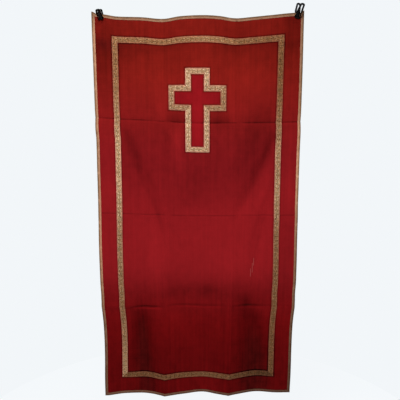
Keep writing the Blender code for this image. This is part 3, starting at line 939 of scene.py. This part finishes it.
def cloth_place(a, b):
    """Corners of the ground cloth: its upright lines near the two long creases follow them."""
    across = a.copy()
    for rest, rows in zip((LEFT_THIRD, RIGHT_THIRD), CREASES_DOWN.values()):
        near = np.clip(1 - np.abs(a - rest) / FOLLOW_REACH, 0, 1)
        across += (curve_value(rows, b, 1) - rest) * near
    # The last value is the painted light and shade of each place
    return across, b, np.full(a.shape, FACE), across, b, painted_shading(across, b)


# Lines of the cloth's grid, close together at its creases
BESIDE_CREASES = (0, 0.0015, 0.004, 0.008, 0.014)
APART_ACROSS, APART_DOWN = 0.0076, 0.0080
upright_lines = [-HALF_WIDTH, HALF_WIDTH]
for crease in (LEFT_THIRD, RIGHT_THIRD):
    upright_lines += [crease + way * step for way in (-1, 1) for step in BESIDE_CREASES]
level_lines = [0.0, CLOTH_DROP]
for quarter in (QUARTER, 2 * QUARTER, 3 * QUARTER):
    level_lines += [quarter + way * step for way in (-1, 1) for step in BESIDE_CREASES]
cloth_grid = (spaced_lines(upright_lines, APART_ACROSS), spaced_lines(level_lines, APART_DOWN), cloth_place)
cloth = fabric("ground_cloth", [cloth_grid], CLOTH_THICK, red_rep())
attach(cloth, "root")
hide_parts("cloth")


# The edge braid: a narrow tan braid folded over all four edges of the cloth and stitched through, so the same
# width shows on both faces. Its outer half is painted darker, painted shade where it turns round the edge.
BINDING_WIDTH = 0.014
SEWN_GAP = 0.0004
SEAT = FACE + SEWN_GAP
BINDING_THICK = 0.001
MITRE_GAP = 0.00025
MITRE_REACH = 0.045
BRAID_STEP = 0.006
CHEVRON_PITCH = 0.0032
CORD_PITCH = 0.0014
INNER_TAN = (0.53, 0.262, 0.152, 1.0)
OUTER_SHADE_BROWN = (0.255, 0.134, 0.064, 1.0)
CHEVRON_BROWN = (0.19, 0.090, 0.040, 1.0)
WORN_TAN = (0.66, 0.38, 0.24, 1.0)
GRIMY_BROWN = (0.13, 0.062, 0.028, 1.0)
HEM_SHADE_BROWN = (0.090, 0.026, 0.014, 1.0)
BRAID_LIFT = SEAT + BINDING_THICK
BRAID_PROFILE = [(BINDING_WIDTH - n * BINDING_WIDTH / 9, BRAID_LIFT + (0.00025 if n in (1, 8) else 0.0))
                 for n in range(10)]
BRAID_PROFILE += [(-0.0009, BRAID_LIFT - 0.0005), (-0.0014, 0.0007)]
BRAID_PROFILE += [(inset, -lift) for inset, lift in reversed(BRAID_PROFILE)]


def edge_lines(side, margin, step):
    """Lines along a strip on one edge, with close ones where a crease crosses it."""
    if side in ("top", "bottom"):
        level = margin if side == "top" else CLOTH_DROP - margin
        creases = [float(curve_value(rows, level, 1)) for rows in CREASES_DOWN.values()]
        start, end = -HALF_WIDTH + margin, HALF_WIDTH - margin
    else:
        creases = [QUARTER, 2 * QUARTER, 3 * QUARTER]
        start, end = margin, CLOTH_DROP - margin
    keys = [start, end]
    for crease in creases:
        keys += [crease + way * beside for way in (-1, 1) for beside in (0, 0.0015, 0.004)]
    return spaced_lines(keys, step)


def edge_place(side, margin, station, inset):
    """A place on a strip that runs beside an edge and is cut off on the mitre at both ends."""
    level = side in ("top", "bottom")
    low, high = (-HALF_WIDTH, HALF_WIDTH) if level else (0.0, CLOTH_DROP)
    edge = {"top": 0.0, "bottom": CLOTH_DROP, "left": -HALF_WIDTH, "right": HALF_WIDTH}[side]
    inward = 1 if side in ("top", "left") else -1
    pull = inset + MITRE_GAP
    along = station + pull * np.clip(1 - (station - low - margin) / MITRE_REACH, 0, 1)
    along = along - pull * np.clip(1 - (high - margin - station) / MITRE_REACH, 0, 1)
    out = edge + inward * (margin + inset)
    return (along, out) if level else (out, along)


def edge_braid():
    """Tan braid: chevron weave between two corded edges, painted duller and browner on its outer half and
    towards the hem as painted shade, with painted light and shade along it.
    """
    material, tree, shader = new_material("edge_braid")
    weave, along, over = weave_places(tree)
    tone, down = weave_places(tree, "Wear")[1:]
    middle = calc(tree, "ABSOLUTE", minus(tree, over, BINDING_WIDTH / 2))
    slant = calc(tree, "MULTIPLY_ADD", middle, 0.9, along)
    chevron = calc(tree, "SINE", times(tree, slant, tau / CHEVRON_PITCH))
    scuffs_and_shading = threads_noise(tree, weave, 1.0, 3.0, (34.0, 60.0))
    colour = blend(tree, between(tree, over, 0.0065, 0.0100), INNER_TAN, OUTER_SHADE_BROWN)
    # The darkening towards the hem is painted shade; the worn and grimy patches are wear
    for share, tint in ((times(tree, between(tree, chevron, 0.1, 0.9), 0.35), CHEVRON_BROWN),
                        (times(tree, between(tree, scuffs_and_shading, 0.50, 0.75), 0.50), WORN_TAN),
                        (times(tree, between(tree, scuffs_and_shading, 0.46, 0.30), 0.45), GRIMY_BROWN),
                        (times(tree, between(tree, down, 1.15, 2.00), 0.60), HEM_SHADE_BROWN)):
        colour = blend(tree, share, colour, tint)
    # Its brightness is its painted light and shade
    tree.links.new(brightened(tree, colour, plus(tree, tone, 1.0)), shader.inputs["Base Color"])
    cords = calc(tree, "SINE", times(tree, over, tau / CORD_PITCH))
    height = calc(tree, "MULTIPLY_ADD", chevron, 0.7, times(tree, cords, 0.3))
    bump(tree, shader, height, 0.00030, 0.8)
    shader.inputs["Roughness"].default_value = 0.60
    shader.inputs["Specular IOR Level"].default_value = 0.10
    return material


# How bright the braid is painted at the left and right edges: painted light and shade. Columns: down, left,
# right
BRAID_LIGHT = (
    (0.00, -0.34, -0.30),
    (0.10, 0.15, -0.26),
    (0.35, 0.15, -0.10),
    (0.60, 0.25, 0.50),
    (0.85, 0.30, 0.60),
    (1.05, 0.45, 0.10),
    (1.30, 0.50, -0.15),
    (1.60, 0.00, -0.30),
    (2.00, -0.10, -0.40),
)


braid = edge_braid()
profile = np.array(BRAID_PROFILE)
over_profile = np.concatenate([[0.0], np.cumsum(np.linalg.norm(np.diff(profile, axis=0), axis=1))])
for side in ("top", "bottom", "left", "right"):
    def braid_place(a, b, side=side):
        row = b.astype(int)
        across, down = edge_place(side, 0.0, a, profile[row, 0])
        # The braid's painted light and shade, between its left and right edges
        left, right = (curve_value(BRAID_LIGHT, down, column) for column in (1, 2))
        scuffs_and_shading = left + (right - left) * eased(across / CLOTH_WIDTH + 0.5)
        return across, down, profile[row, 1], a, over_profile[row], scuffs_and_shading

    lines = edge_lines(side, 0.0, BRAID_STEP)
    piece = fabric("edge_braid_" + side, [(lines, np.arange(float(len(profile))), braid_place)],
                   BINDING_THICK, braid)
    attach(piece, "root")
    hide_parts("binding_" + side)


# The frame: four lengths of woven galloon, dark scrolls and bright leaves on a gold ground
# between plain tan selvedges, laid in from the edges, mitred at the corners and stitched down.
GALLOON_WIDTH = 0.028
GALLOON_MARGIN = 0.095
GALLOON_THICK = 0.0012
GALLOON_FACE = SEAT + GALLOON_THICK
SELVEDGE = 0.0048
REPEAT = 0.048
HALF_REPEAT = REPEAT / 2
VINE_SWING = 0.0052
VINE_HALF = 0.0014
CURL = (0.0015, -0.0014, 0.0052)
CURL_PITCH = 0.0040
LEAVES = (
    (-0.0080, 0.0056, 0.0040, 0.0024),
    (0.0082, 0.0050, 0.0038, 0.0023),
    (-0.0078, -0.0050, 0.0034, 0.0024),
)
SCROLL_RAISE = 0.00045
GALLOON_STEP = 0.0021
GALLOON_ROWS = np.linspace(0.0, GALLOON_WIDTH, 17)
METAL_PICK_PITCH = 0.0012
SHADE_TINT = (1.0, 0.66, 0.44, 1.0)


def scroll_relief(along, inset):
    """How raised the woven scrolls are: a running vine with a curl and leaves in each wave."""
    wave = np.floor(along / HALF_REPEAT)
    x = along - (wave + 0.5) * HALF_REPEAT
    y = (inset - GALLOON_WIDTH / 2) * (1 - 2 * np.mod(wave, 2))
    vine = 1 - np.abs(y - VINE_SWING * np.cos(pi * x / HALF_REPEAT)) / (2 * VINE_HALF)
    round_curl = np.hypot(x - CURL[0], y - CURL[1])
    turn = round_curl / CURL_PITCH - np.arctan2(y - CURL[1], x - CURL[0]) / tau
    curl = np.where(round_curl < CURL[2], 1 - np.abs(turn - np.rint(turn)) * 3, 0)
    raised = np.maximum(vine, curl)
    for leaf_x, leaf_y, length, width in LEAVES:
        raised = np.maximum(raised, 1.4 - np.hypot((x - leaf_x) / length, (y - leaf_y) / width))
    inside = np.clip((GALLOON_WIDTH / 2 - SELVEDGE - np.abs(y)) / 0.0008, 0, 1)
    edge_cord = np.exp(-((np.abs(y) - GALLOON_WIDTH / 2 + SELVEDGE) / 0.0009) ** 2)
    return np.clip(raised, 0, 1) * inside + 0.7 * edge_cord


def squares(tree, a, b):
    """The sum of two values' squares."""
    return plus(tree, times(tree, a, a), times(tree, b, b))


def woven_galloon(name, ground, dark, bright, selvedge, soil):
    """Galloon: dark vine and curls and bright leaves on a gold ground, where its relief has them."""
    material, tree, shader = new_material(name)
    weave, along, inset = weave_places(tree)
    painted_light = weave_places(tree, "Wear")[1]
    wave = calc(tree, "FLOOR", calc(tree, "DIVIDE", along, HALF_REPEAT))
    x = minus(tree, along, times(tree, plus(tree, wave, 0.5), HALF_REPEAT))
    flip = calc(tree, "MULTIPLY_ADD", calc(tree, "FLOORED_MODULO", wave, 2.0), -2.0, 1.0)
    y = times(tree, minus(tree, inset, GALLOON_WIDTH / 2), flip)
    swing = calc(tree, "COSINE", times(tree, x, pi / HALF_REPEAT))
    vine = calc(tree, "ABSOLUTE", minus(tree, y, times(tree, swing, VINE_SWING)))
    drawn = between(tree, vine, VINE_HALF * 1.5, VINE_HALF * 1.0)
    from_x = minus(tree, x, CURL[0])
    from_y = minus(tree, y, CURL[1])
    round_curl = calc(tree, "SQRT", squares(tree, from_x, from_y))
    turn = minus(tree, calc(tree, "DIVIDE", round_curl, CURL_PITCH),
                calc(tree, "DIVIDE", calc(tree, "ARCTAN2", from_y, from_x), tau))
    off_turn = calc(tree, "ABSOLUTE", minus(tree, turn, calc(tree, "ROUND", turn)))
    in_curl = between(tree, round_curl, CURL[2], CURL[2] - 0.0006)
    drawn = calc(tree, "MAXIMUM", drawn, times(tree, between(tree, off_turn, 0.26, 0.18), in_curl))
    leaves = 0.0
    for leaf_x, leaf_y, length, width in LEAVES:
        leaf_a = calc(tree, "DIVIDE", minus(tree, x, leaf_x), length)
        leaf_b = calc(tree, "DIVIDE", minus(tree, y, leaf_y), width)
        leaf = squares(tree, leaf_a, leaf_b)
        leaves = calc(tree, "MAXIMUM", leaves, between(tree, leaf, 1.05, 0.75))
        drawn = calc(tree, "MAXIMUM", drawn, between(tree, leaf, 2.0, 1.5))
    off_middle = calc(tree, "ABSOLUTE", y)
    scuffs_and_shading = threads_noise(tree, weave, 1.0, 2.0, (150.0, 150.0))
    glint = threads_noise(tree, weave, 1.0, 1.0, (260.0, 230.0))
    dull = threads_noise(tree, weave, 1.0, 2.0, (24.0, 24.0))
    colour = blend(tree, times(tree, drawn, 0.85), ground, dark)
    colour = blend(tree, times(tree, between(tree, scuffs_and_shading, 0.48, 0.34), 0.55), colour, dark)
    colour = blend(tree, times(tree, between(tree, glint, 0.52, 0.66), 0.60), colour, bright)
    colour = blend(tree, leaves, colour, bright)
    field_edge = GALLOON_WIDTH / 2 - SELVEDGE
    on_selvedge = between(tree, off_middle, field_edge - 0.0003, field_edge + 0.0003)
    colour = blend(tree, on_selvedge, colour, selvedge)
    off_cord = calc(tree, "ABSOLUTE", minus(tree, off_middle, field_edge))
    cord_line = between(tree, off_cord, 0.0009, 0.0003)
    colour = blend(tree, times(tree, cord_line, 0.6), colour, dark)
    colour = blend(tree, times(tree, between(tree, dull, 0.46, 0.72), soil), colour, dark)
    patches = threads_noise(tree, weave, 1.0, 2.0, (75.0, 90.0))
    # Where the painted sheen is low the gold is tinted browner, as painted shade
    light_tint = tree.nodes.new("ShaderNodeVectorMath")
    light_tint.operation = "MULTIPLY"
    tree.links.new(colour, light_tint.inputs[0])
    tinted_by_light = blend(tree, between(tree, painted_light, 0.15, 0.95), SHADE_TINT, (1.0, 1.0, 1.0, 1.0))
    tree.links.new(tinted_by_light, light_tint.inputs[1])
    # Its brightness is its painted sheen and shade, made uneven by wear
    flicker = plus(tree, wobble(tree, scuffs_and_shading, 1.3), wobble(tree, patches, 1.3))
    share = times(tree, painted_light, calc(tree, "MAXIMUM", plus(tree, flicker, 1.0), 0.25))
    tree.links.new(brightened(tree, light_tint.outputs[0], share), shader.inputs["Base Color"])
    picks = calc(tree, "SINE", times(tree, along, tau / METAL_PICK_PITCH))
    picks = times(tree, picks, 0.25)
    height = calc(tree, "MULTIPLY_ADD", calc(tree, "MAXIMUM", drawn, leaves), 1.2, picks)
    bump(tree, shader, height, 0.00025, 0.8)
    shader.inputs["Roughness"].default_value = 0.52
    shader.inputs["Specular IOR Level"].default_value = 0.08
    shader.inputs["Metallic"].default_value = 0.10
    return material


# How bright the metal thread is painted: painted sheen and painted shade. Columns: down, on the left, on the
# right
FRAME_LIGHT = (
    (0.095, 0.44, 0.34),
    (0.20, 0.42, 0.31),
    (0.30, 0.48, 0.34),
    (0.40, 0.58, 0.40),
    (0.50, 0.70, 0.54),
    (0.60, 0.86, 0.63),
    (0.70, 1.00, 0.72),
    (0.80, 1.00, 0.77),
    (0.90, 0.94, 0.80),
    (1.00, 0.84, 0.71),
    (1.10, 0.75, 0.58),
    (1.30, 0.66, 0.49),
    (1.50, 0.58, 0.43),
    (1.70, 0.66, 0.34),
    (1.905, 0.76, 0.28),
)
# How bright the painted sheen of the level lengths is, against the upright ones
LEVEL_LENGTH_LIGHT = {"top": 1.02, "bottom": 0.44}
# Where a level length has a painted gleam in the middle: how much, at which place across, how far it reaches
PAINTED_GLEAMS = {"top": (0.12, 0.045, 0.130), "bottom": (0.12, 0.085, 0.260)}


frame_weave = woven_galloon("frame_galloon", (0.74, 0.42, 0.215, 1.0), (0.26, 0.130, 0.046, 1.0),
                            (1.0, 0.76, 0.47, 1.0), (0.88, 0.45, 0.285, 1.0), 0.30)
for side in ("top", "bottom", "left", "right"):
    def galloon_place(a, b, side=side):
        across, down = edge_place(side, GALLOON_MARGIN, a, b)
        along = across if side in ("top", "bottom") else down
        # The painted sheen and shade of the metal thread, with a painted gleam on the level lengths
        left, right = (curve_value(FRAME_LIGHT, down, column) for column in (1, 2))
        painted_light = (left + (right - left) * eased(across / CLOTH_WIDTH + 0.5)) * LEVEL_LENGTH_LIGHT.get(side, 1.0)
        painted_gleam, middle, reach = PAINTED_GLEAMS.get(side, (0.0, 0.0, 1.0))
        painted_light = painted_light + painted_gleam * soft(across - middle, reach)
        return across, down, GALLOON_FACE + SCROLL_RAISE * scroll_relief(along, b), along, b, painted_light

    lines = edge_lines(side, GALLOON_MARGIN, GALLOON_STEP)
    piece = fabric("galloon_" + side, [(lines, GALLOON_ROWS, galloon_place)], GALLOON_THICK, frame_weave)
    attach(piece, "root")
    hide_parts("frame_galloon_" + side)


# The cross: the same galloon, cleaner and brighter, laid as the outline of a cross and
# folded on the mitre at its twelve corners.
CROSS_MIDDLE = -0.003
CROSS_TOP = 0.240
CROSS_HEIGHT = 0.412
CROSS_SPAN = 0.290
CROSS_LIMB = 0.122
CROSS_HEAD = 0.079
# How bright the cross's painted sheen is
CROSS_LIGHT = 0.88
# How each of its twelve lengths catches the light, clockwise from the head
CROSS_LEVELS = (0.86, 0.98, 0.86, 0.67, 0.72, 1.06, 1.10, 1.12, 0.75, 0.78, 0.86, 1.02)
FOLD_FLATTENS = 0.002
stem, arm = CROSS_LIMB / 2, CROSS_SPAN / 2
head, shoulder = CROSS_TOP, CROSS_TOP + CROSS_HEAD
armpit, foot = CROSS_TOP + CROSS_HEAD + CROSS_LIMB, CROSS_TOP + CROSS_HEIGHT
outer_corners = [(-stem, head), (stem, head), (stem, shoulder), (arm, shoulder),
                 (arm, armpit), (stem, armpit), (stem, foot), (-stem, foot),
                 (-stem, armpit), (-arm, armpit), (-arm, shoulder), (-stem, shoulder)]
cross_patches = []
run = 0.0
for n, start in enumerate(outer_corners):
    before, end, after = outer_corners[n - 1], outer_corners[(n + 1) % 12], outer_corners[(n + 2) % 12]
    start, end = Vector(start), Vector(end)
    ahead = (end - start).normalized()
    inward = Vector((-ahead.y, ahead.x))
    arrive = (start - Vector(before)).normalized()
    leave = (Vector(after) - end).normalized()
    start_turn = arrive.x * ahead.y - arrive.y * ahead.x
    end_turn = ahead.x * leave.y - ahead.y * leave.x
    length = (end - start).length

    def cross_place(a, b, start=start, ahead=ahead, inward=inward, turns=(start_turn, end_turn),
                    length=length, run=run, painted_light=CROSS_LIGHT * CROSS_LEVELS[n]):
        begin, finish = b * turns[0], length - b * turns[1]
        along = begin + (finish - begin) * a
        across = CROSS_MIDDLE + start.x + ahead.x * along + inward.x * b
        down = start.y + ahead.y * along + inward.y * b
        flat_fold = np.clip(np.minimum(along - begin, finish - along) / FOLD_FLATTENS, 0, 1)
        lift = GALLOON_FACE + SCROLL_RAISE * flat_fold * scroll_relief(along + run, b)
        # The painted sheen is dimmer at the mitre folds, as painted shade
        return across, down, lift, along + run, b, painted_light * (0.70 + 0.30 * flat_fold)

    shares = np.linspace(0.0, 1.0, int(length / GALLOON_STEP))
    cross_patches.append((shares, GALLOON_ROWS, cross_place))
    run += length
cross_weave = woven_galloon("cross_galloon", (0.67, 0.372, 0.202, 1.0), (0.25, 0.131, 0.051, 1.0),
                            (1.0, 0.745, 0.47, 1.0), (0.79, 0.396, 0.255, 1.0), 0.12)
cross = fabric("cross", cross_patches, GALLOON_THICK, cross_weave)
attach(cross, "root")
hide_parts("cross_galloon")


# The sewing thread: a running stitch of tan thread close to both selvedges of all the
# galloon, and along the inner edge of the braid.
STITCH_LENGTH = 0.0024
STITCH_EVERY = 0.0048
STITCH_HALF_WIDTH = 0.00032
FROM_BRAID_EDGE = 0.0016
FROM_SELVEDGE = 0.0014
OVER_BRAID = 0.0001
ROW_END = 0.001
AIM_AHEAD = 0.0005
stitch_rows = []
for side in ("top", "bottom", "left", "right"):
    for margin, inset, lift in ((0.0, BINDING_WIDTH - FROM_BRAID_EDGE, BRAID_LIFT + OVER_BRAID),
                                (GALLOON_MARGIN, FROM_SELVEDGE, GALLOON_FACE),
                                (GALLOON_MARGIN, GALLOON_WIDTH - FROM_SELVEDGE, GALLOON_FACE)):
        lines = edge_lines(side, margin + inset, 1.0)
        stations = np.arange(lines[0] + ROW_END, lines[-1] - ROW_END, STITCH_EVERY)
        starts = edge_place(side, margin + inset, stations, 0.0)
        ends = edge_place(side, margin + inset, stations + AIM_AHEAD, 0.0)
        stitch_rows.append((*starts, lift, *ends))
for n, start in enumerate(outer_corners):
    start, end = Vector(start), Vector(outer_corners[(n + 1) % 12])
    ahead = (end - start).normalized()
    inward = Vector((-ahead.y, ahead.x))
    for inset in (FROM_SELVEDGE, GALLOON_WIDTH - FROM_SELVEDGE):
        along = np.arange(inset, (end - start).length - inset, STITCH_EVERY)
        across = CROSS_MIDDLE + start.x + ahead.x * along + inward.x * inset
        down = start.y + ahead.y * along + inward.y * inset
        ends = across + ahead.x * AIM_AHEAD, down + ahead.y * AIM_AHEAD
        stitch_rows.append((across, down, GALLOON_FACE, *ends))
all_rows = bmesh.new()
for across, down, lift, next_across, next_down in stitch_rows:
    across, down = np.broadcast_arrays(across, down)
    next_across, next_down = np.broadcast_arrays(next_across, next_down)
    normals = facing(across, down)
    spots = hang(across, down) + normals * lift
    ahead = hang(next_across, next_down) - hang(across, down)
    stitches = bmesh.new()
    for spot, normal, way in zip(spots, normals, ahead):
        way, normal = Vector(way).normalized(), Vector(normal)
        beside = normal.cross(way).normalized()
        turn = Matrix((way, beside, way.cross(beside))).transposed().to_4x4()
        shape = Matrix.Diagonal((STITCH_LENGTH / 2, STITCH_HALF_WIDTH, STITCH_HALF_WIDTH, 1.0))
        bmesh.ops.create_icosphere(stitches, subdivisions=1, radius=1.0,
                                   matrix=Matrix.Translation(spot) @ turn @ shape)
    row_mesh = bpy.data.meshes.new("stitch_row")
    stitches.to_mesh(row_mesh)
    stitches.free()
    all_rows.from_mesh(row_mesh)
    bpy.data.meshes.remove(row_mesh)
sewing_thread, tree, shader = new_material("sewing_thread")
place = tree.nodes.new("ShaderNodeTexCoord").outputs["Object"]
twist = threads_noise(tree, place, 900.0, 1.0, (1.0, 1.0))
tan = blend(tree, twist, (0.20, 0.105, 0.050, 1.0), (0.40, 0.23, 0.13, 1.0))
tree.links.new(tan, shader.inputs["Base Color"])
shader.inputs["Roughness"].default_value = 0.6
thread = finished("sewing_thread", all_rows, sewing_thread)
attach(thread, "root")


# The two clips: spring steel bent to a wedge with curled lips, black enamel, and in each
# lip a wire handle in a thick sleeve, turned up. The lips grip the braid at the top corners.
CLIP_LENGTH = 0.018
CLIP_HEIGHT = 0.034
CLIP_DEPTH = 0.016
CLIP_STEEL = 0.0008
CLIP_CLEARANCE = 0.0003
SHOULDER_TURN = 0.003
WIRE_RADIUS = 0.0031
WIRE_BORE = 0.0035
HANDLE_LENGTH = 0.073
HANDLE_FOOT = 0.0082
HANDLE_END_WIDTH = 0.0140
HANDLE_CLEARANCE = 0.0004
FOOT_BEND = 0.0035
END_BEND = 0.0052
SLEEVE_RADIUS = 0.0048
SLEEVE_STARTS = (0.40, 0.44)
CURL_FROM = 110
CURL_STEP = 12.5
RIM_ROUNDING = 0.00018


def clip_section():
    """The outline of the bent steel, seen along its lips, and the middle of one curl."""
    curl = WIRE_BORE + CLIP_STEEL / 2
    curl_out = FACE + CLIP_CLEARANCE + CLIP_STEEL / 2 + curl
    centre = Vector((0, -curl_out, curl + CLIP_STEEL / 2))
    shoulder_point = Vector((0, -CLIP_DEPTH / 2 + CLIP_STEEL / 2, CLIP_HEIGHT - CLIP_STEEL / 2))
    half = []
    for n in range(21):
        angle = radians(CURL_FROM + CURL_STEP * n)
        half.append(centre + curl * Vector((0, cos(angle), sin(angle))))
    up = (shoulder_point - half[-1]).normalized() * SHOULDER_TURN
    inward = Vector((0, SHOULDER_TURN, 0))
    for n in range(9):
        t = n / 8
        half.append(shoulder_point - up * (1 - t) ** 2 + inward * t ** 2)
    middle_line = half + [Vector((0, -point.y, point.z)) for point in reversed(half)]
    outline = []
    for side in (1, -1):
        edge = []
        for n, point in enumerate(middle_line):
            before = middle_line[max(n - 1, 0)]
            after = middle_line[min(n + 1, len(middle_line) - 1)]
            tangent = (after - before).normalized()
            edge.append(point + Vector((0, -tangent.z, tangent.y)) * (side * CLIP_STEEL / 2))
        outline += edge if side == 1 else list(reversed(edge))
    return outline, centre


def rounded_route(corners, radius, steps):
    """A route through the given points, with the inner corners turned on an arc."""
    route = [corners[0]]
    for before, corner, after in zip(corners, corners[1:], corners[2:]):
        back = (before - corner).normalized()
        ahead = (after - corner).normalized()
        half = back.angle(ahead) / 2
        centre = corner + (back + ahead).normalized() * (radius / sin(half))
        start = corner + back * (radius * cos(half) / sin(half)) - centre
        end = corner + ahead * (radius * cos(half) / sin(half)) - centre
        sweep = start.angle(end)
        for n in range(steps + 1):
            share = n / steps
            route.append(centre + (start * sin((1 - share) * sweep) + end * sin(share * sweep)) / sin(sweep))
    return route + [corners[-1]]


def enamel(name, shade, roughness):
    """Black enamel with a little dust and rubbed patches."""
    material, tree, shader = new_material(name)
    spot = tree.nodes.new("ShaderNodeTexCoord").outputs["Object"]
    dust = threads_noise(tree, spot, 300.0, 3.0, (1.0, 1.0))
    grain = threads_noise(tree, spot, 1800.0, 2.0, (1.0, 1.0))
    dusty = times(tree, between(tree, dust, 0.5, 0.8), 0.5)
    colour = blend(tree, dusty, (*shade, 1.0), (*(3 * part for part in shade), 1.0))
    tree.links.new(colour, shader.inputs["Base Color"])
    tree.links.new(calc(tree, "MULTIPLY_ADD", dust, 0.2, roughness), shader.inputs["Roughness"])
    bump(tree, shader, grain, 0.00004, 0.5)
    shader.inputs["Specular IOR Level"].default_value = 0.12
    return material


black_steel = enamel("black_steel", (0.0016, 0.0016, 0.0018), 0.34)
black_wire = enamel("black_wire", (0.0016, 0.0016, 0.0018), 0.34)
for side, clip_across, bite, turn, lean, swings in CLIPS:
    stand = Matrix.Translation(hang(np.array([clip_across]), np.array([bite]))[0])
    stand = stand @ Euler((0, 0, -turn)).to_matrix().to_4x4() @ Euler((0, lean, 0)).to_matrix().to_4x4()
    outline, curl_centre = clip_section()
    body = bmesh.new()
    ring = [body.verts.new(point + Vector((-CLIP_LENGTH / 2, 0, 0))) for point in outline]
    grown = bmesh.ops.extrude_face_region(body, geom=[body.faces.new(ring)])
    moved = [item for item in grown["geom"] if isinstance(item, bmesh.types.BMVert)]
    bmesh.ops.translate(body, verts=moved, vec=(CLIP_LENGTH, 0, 0))
    rim = [edge for edge in body.edges if len({round(vert.co.x, 5) for vert in edge.verts}) == 1]
    bmesh.ops.bevel(body, geom=rim, offset=RIM_ROUNDING, affect="EDGES", segments=2, profile=0.5, material=-1)
    bmesh.ops.triangulate(body, faces=[face for face in body.faces if len(face.verts) > 4])
    body.transform(stand)
    piece = finished("clip_" + side, body, black_steel)
    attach(piece, "root")
    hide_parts("clip_body_" + side)

    foot_x = CLIP_LENGTH / 2 + HANDLE_CLEARANCE + WIRE_RADIUS
    half_end = HANDLE_END_WIDTH / 2
    corners = [Vector((-foot_x + HANDLE_FOOT, 0, 0)), Vector((-foot_x, 0, 0)),
               Vector((-half_end, 0, HANDLE_LENGTH)), Vector((half_end, 0, HANDLE_LENGTH)),
               Vector((foot_x, 0, 0)), Vector((foot_x - HANDLE_FOOT, 0, 0))]
    left_foot = rounded_route(corners[:3], FOOT_BEND, 8)
    far_end = rounded_route(corners[1:5], END_BEND, 12)
    right_foot = rounded_route(corners[3:], FOOT_BEND, 8)
    left_leg = [corners[1].lerp(corners[2], share) for share in SLEEVE_STARTS]
    right_leg = [corners[4].lerp(corners[3], share) for share in reversed(SLEEVE_STARTS)]
    route = left_foot[:-1] + left_leg + far_end[1:-1] + right_leg + right_foot[1:]
    for way, word, swung in ((1, "front", swings[0]), (-1, "back", swings[1])):
        bent = bpy.data.curves.new("wire", "CURVE")
        bent.dimensions = "3D"
        bent.bevel_depth = WIRE_RADIUS
        bent.bevel_resolution = 4
        bent.use_fill_caps = True
        spline = bent.splines.new("POLY")
        spline.points.add(len(route) - 1)
        for point, spot in zip(spline.points, route):
            point.co = (*spot, 1)
            if spot.z > HANDLE_LENGTH * SLEEVE_STARTS[0] + 0.001:
                point.radius = SLEEVE_RADIUS / WIRE_RADIUS
        wire = bpy.data.objects.new("wire", bent)
        tube = bmesh.new()
        tube.from_mesh(wire.to_mesh())
        bpy.data.objects.remove(wire)
        bmesh.ops.remove_doubles(tube, verts=tube.verts, dist=0.00001)
        pivot = Matrix.Translation((0, way * curl_centre.y, curl_centre.z))
        tube.transform(stand @ pivot @ Euler((way * swung, 0, 0)).to_matrix().to_4x4())
        piece = finished("clip_handle_%s_%s_wire" % (side, word), tube, black_wire)
        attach(piece, "root")
        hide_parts("clip_handle_%s_%s" % (side, word))


# The studio: a pale floor well below the hem, soft light from the front and above, and
# the camera in front of the upper half, looking a little down.
FLOOR_LEVEL = -2.45
PAPER = (0.889, 0.922, 0.947, 1.0)
floor_mesh = bmesh.new()
bmesh.ops.create_circle(floor_mesh, cap_ends=True, segments=96, radius=1.5)
bmesh.ops.translate(floor_mesh, verts=floor_mesh.verts, vec=(0, 0, FLOOR_LEVEL))
pale, tree, shader = new_material("pale_floor")
shader.inputs["Base Color"].default_value = (0.10, 0.10, 0.10, 1.0)
shader.inputs["Roughness"].default_value = 1.0
shader.inputs["Specular IOR Level"].default_value = 0.0
shader.inputs["Emission Color"].default_value = PAPER
shader.inputs["Emission Strength"].default_value = 0.97
floor = finished("floor", floor_mesh, pale)

world = bpy.data.worlds.new("studio")
bpy.context.scene.world = world
world.use_nodes = True
tree = world.node_tree
paper = tree.nodes["Background"]
paper.inputs["Color"].default_value = PAPER
glow = tree.nodes.new("ShaderNodeBackground")
glow.inputs["Color"].default_value = (1.0, 0.97, 0.95, 1.0)
glow.inputs["Strength"].default_value = 0.14
either = tree.nodes.new("ShaderNodeMixShader")
tree.links.new(tree.nodes.new("ShaderNodeLightPath").outputs["Is Camera Ray"], either.inputs[0])
tree.links.new(glow.outputs[0], either.inputs[1])
tree.links.new(paper.outputs[0], either.inputs[2])
tree.links.new(either.outputs[0], tree.nodes["World Output"].inputs["Surface"])

for name, spot, aim, size, power in (("key", (-0.45, -1.8, 0.95), (0.0, 0, -0.75), 1.0, 52.0),
                                     ("fill", (1.4, -2.2, 0.0), (0, 0, -0.8), 1.4, 5.0),
                                     ("behind", (0.3, 2.3, 0.5), (0, 0, -0.9), 1.6, 24.0)):
    lamp = bpy.data.lights.new(name, "AREA")
    lamp.size = size
    lamp.energy = power
    light = bpy.data.objects.new(name, lamp)
    light.location = spot
    light.rotation_euler = (Vector(aim) - Vector(spot)).to_track_quat("-Z", "Y").to_euler()
    bpy.context.scene.collection.objects.link(light)

camera = bpy.data.objects.new("camera", bpy.data.cameras.new("camera"))
camera.data.lens = 50.0
camera.data.sensor_width = 36.0
camera.location = (0.010, -2.845, -0.460)
camera.rotation_euler = (radians(79.94), 0, 0)
bpy.context.scene.collection.objects.link(camera)
bpy.context.scene.camera = camera
bpy.context.scene.view_settings.view_transform = "Standard"
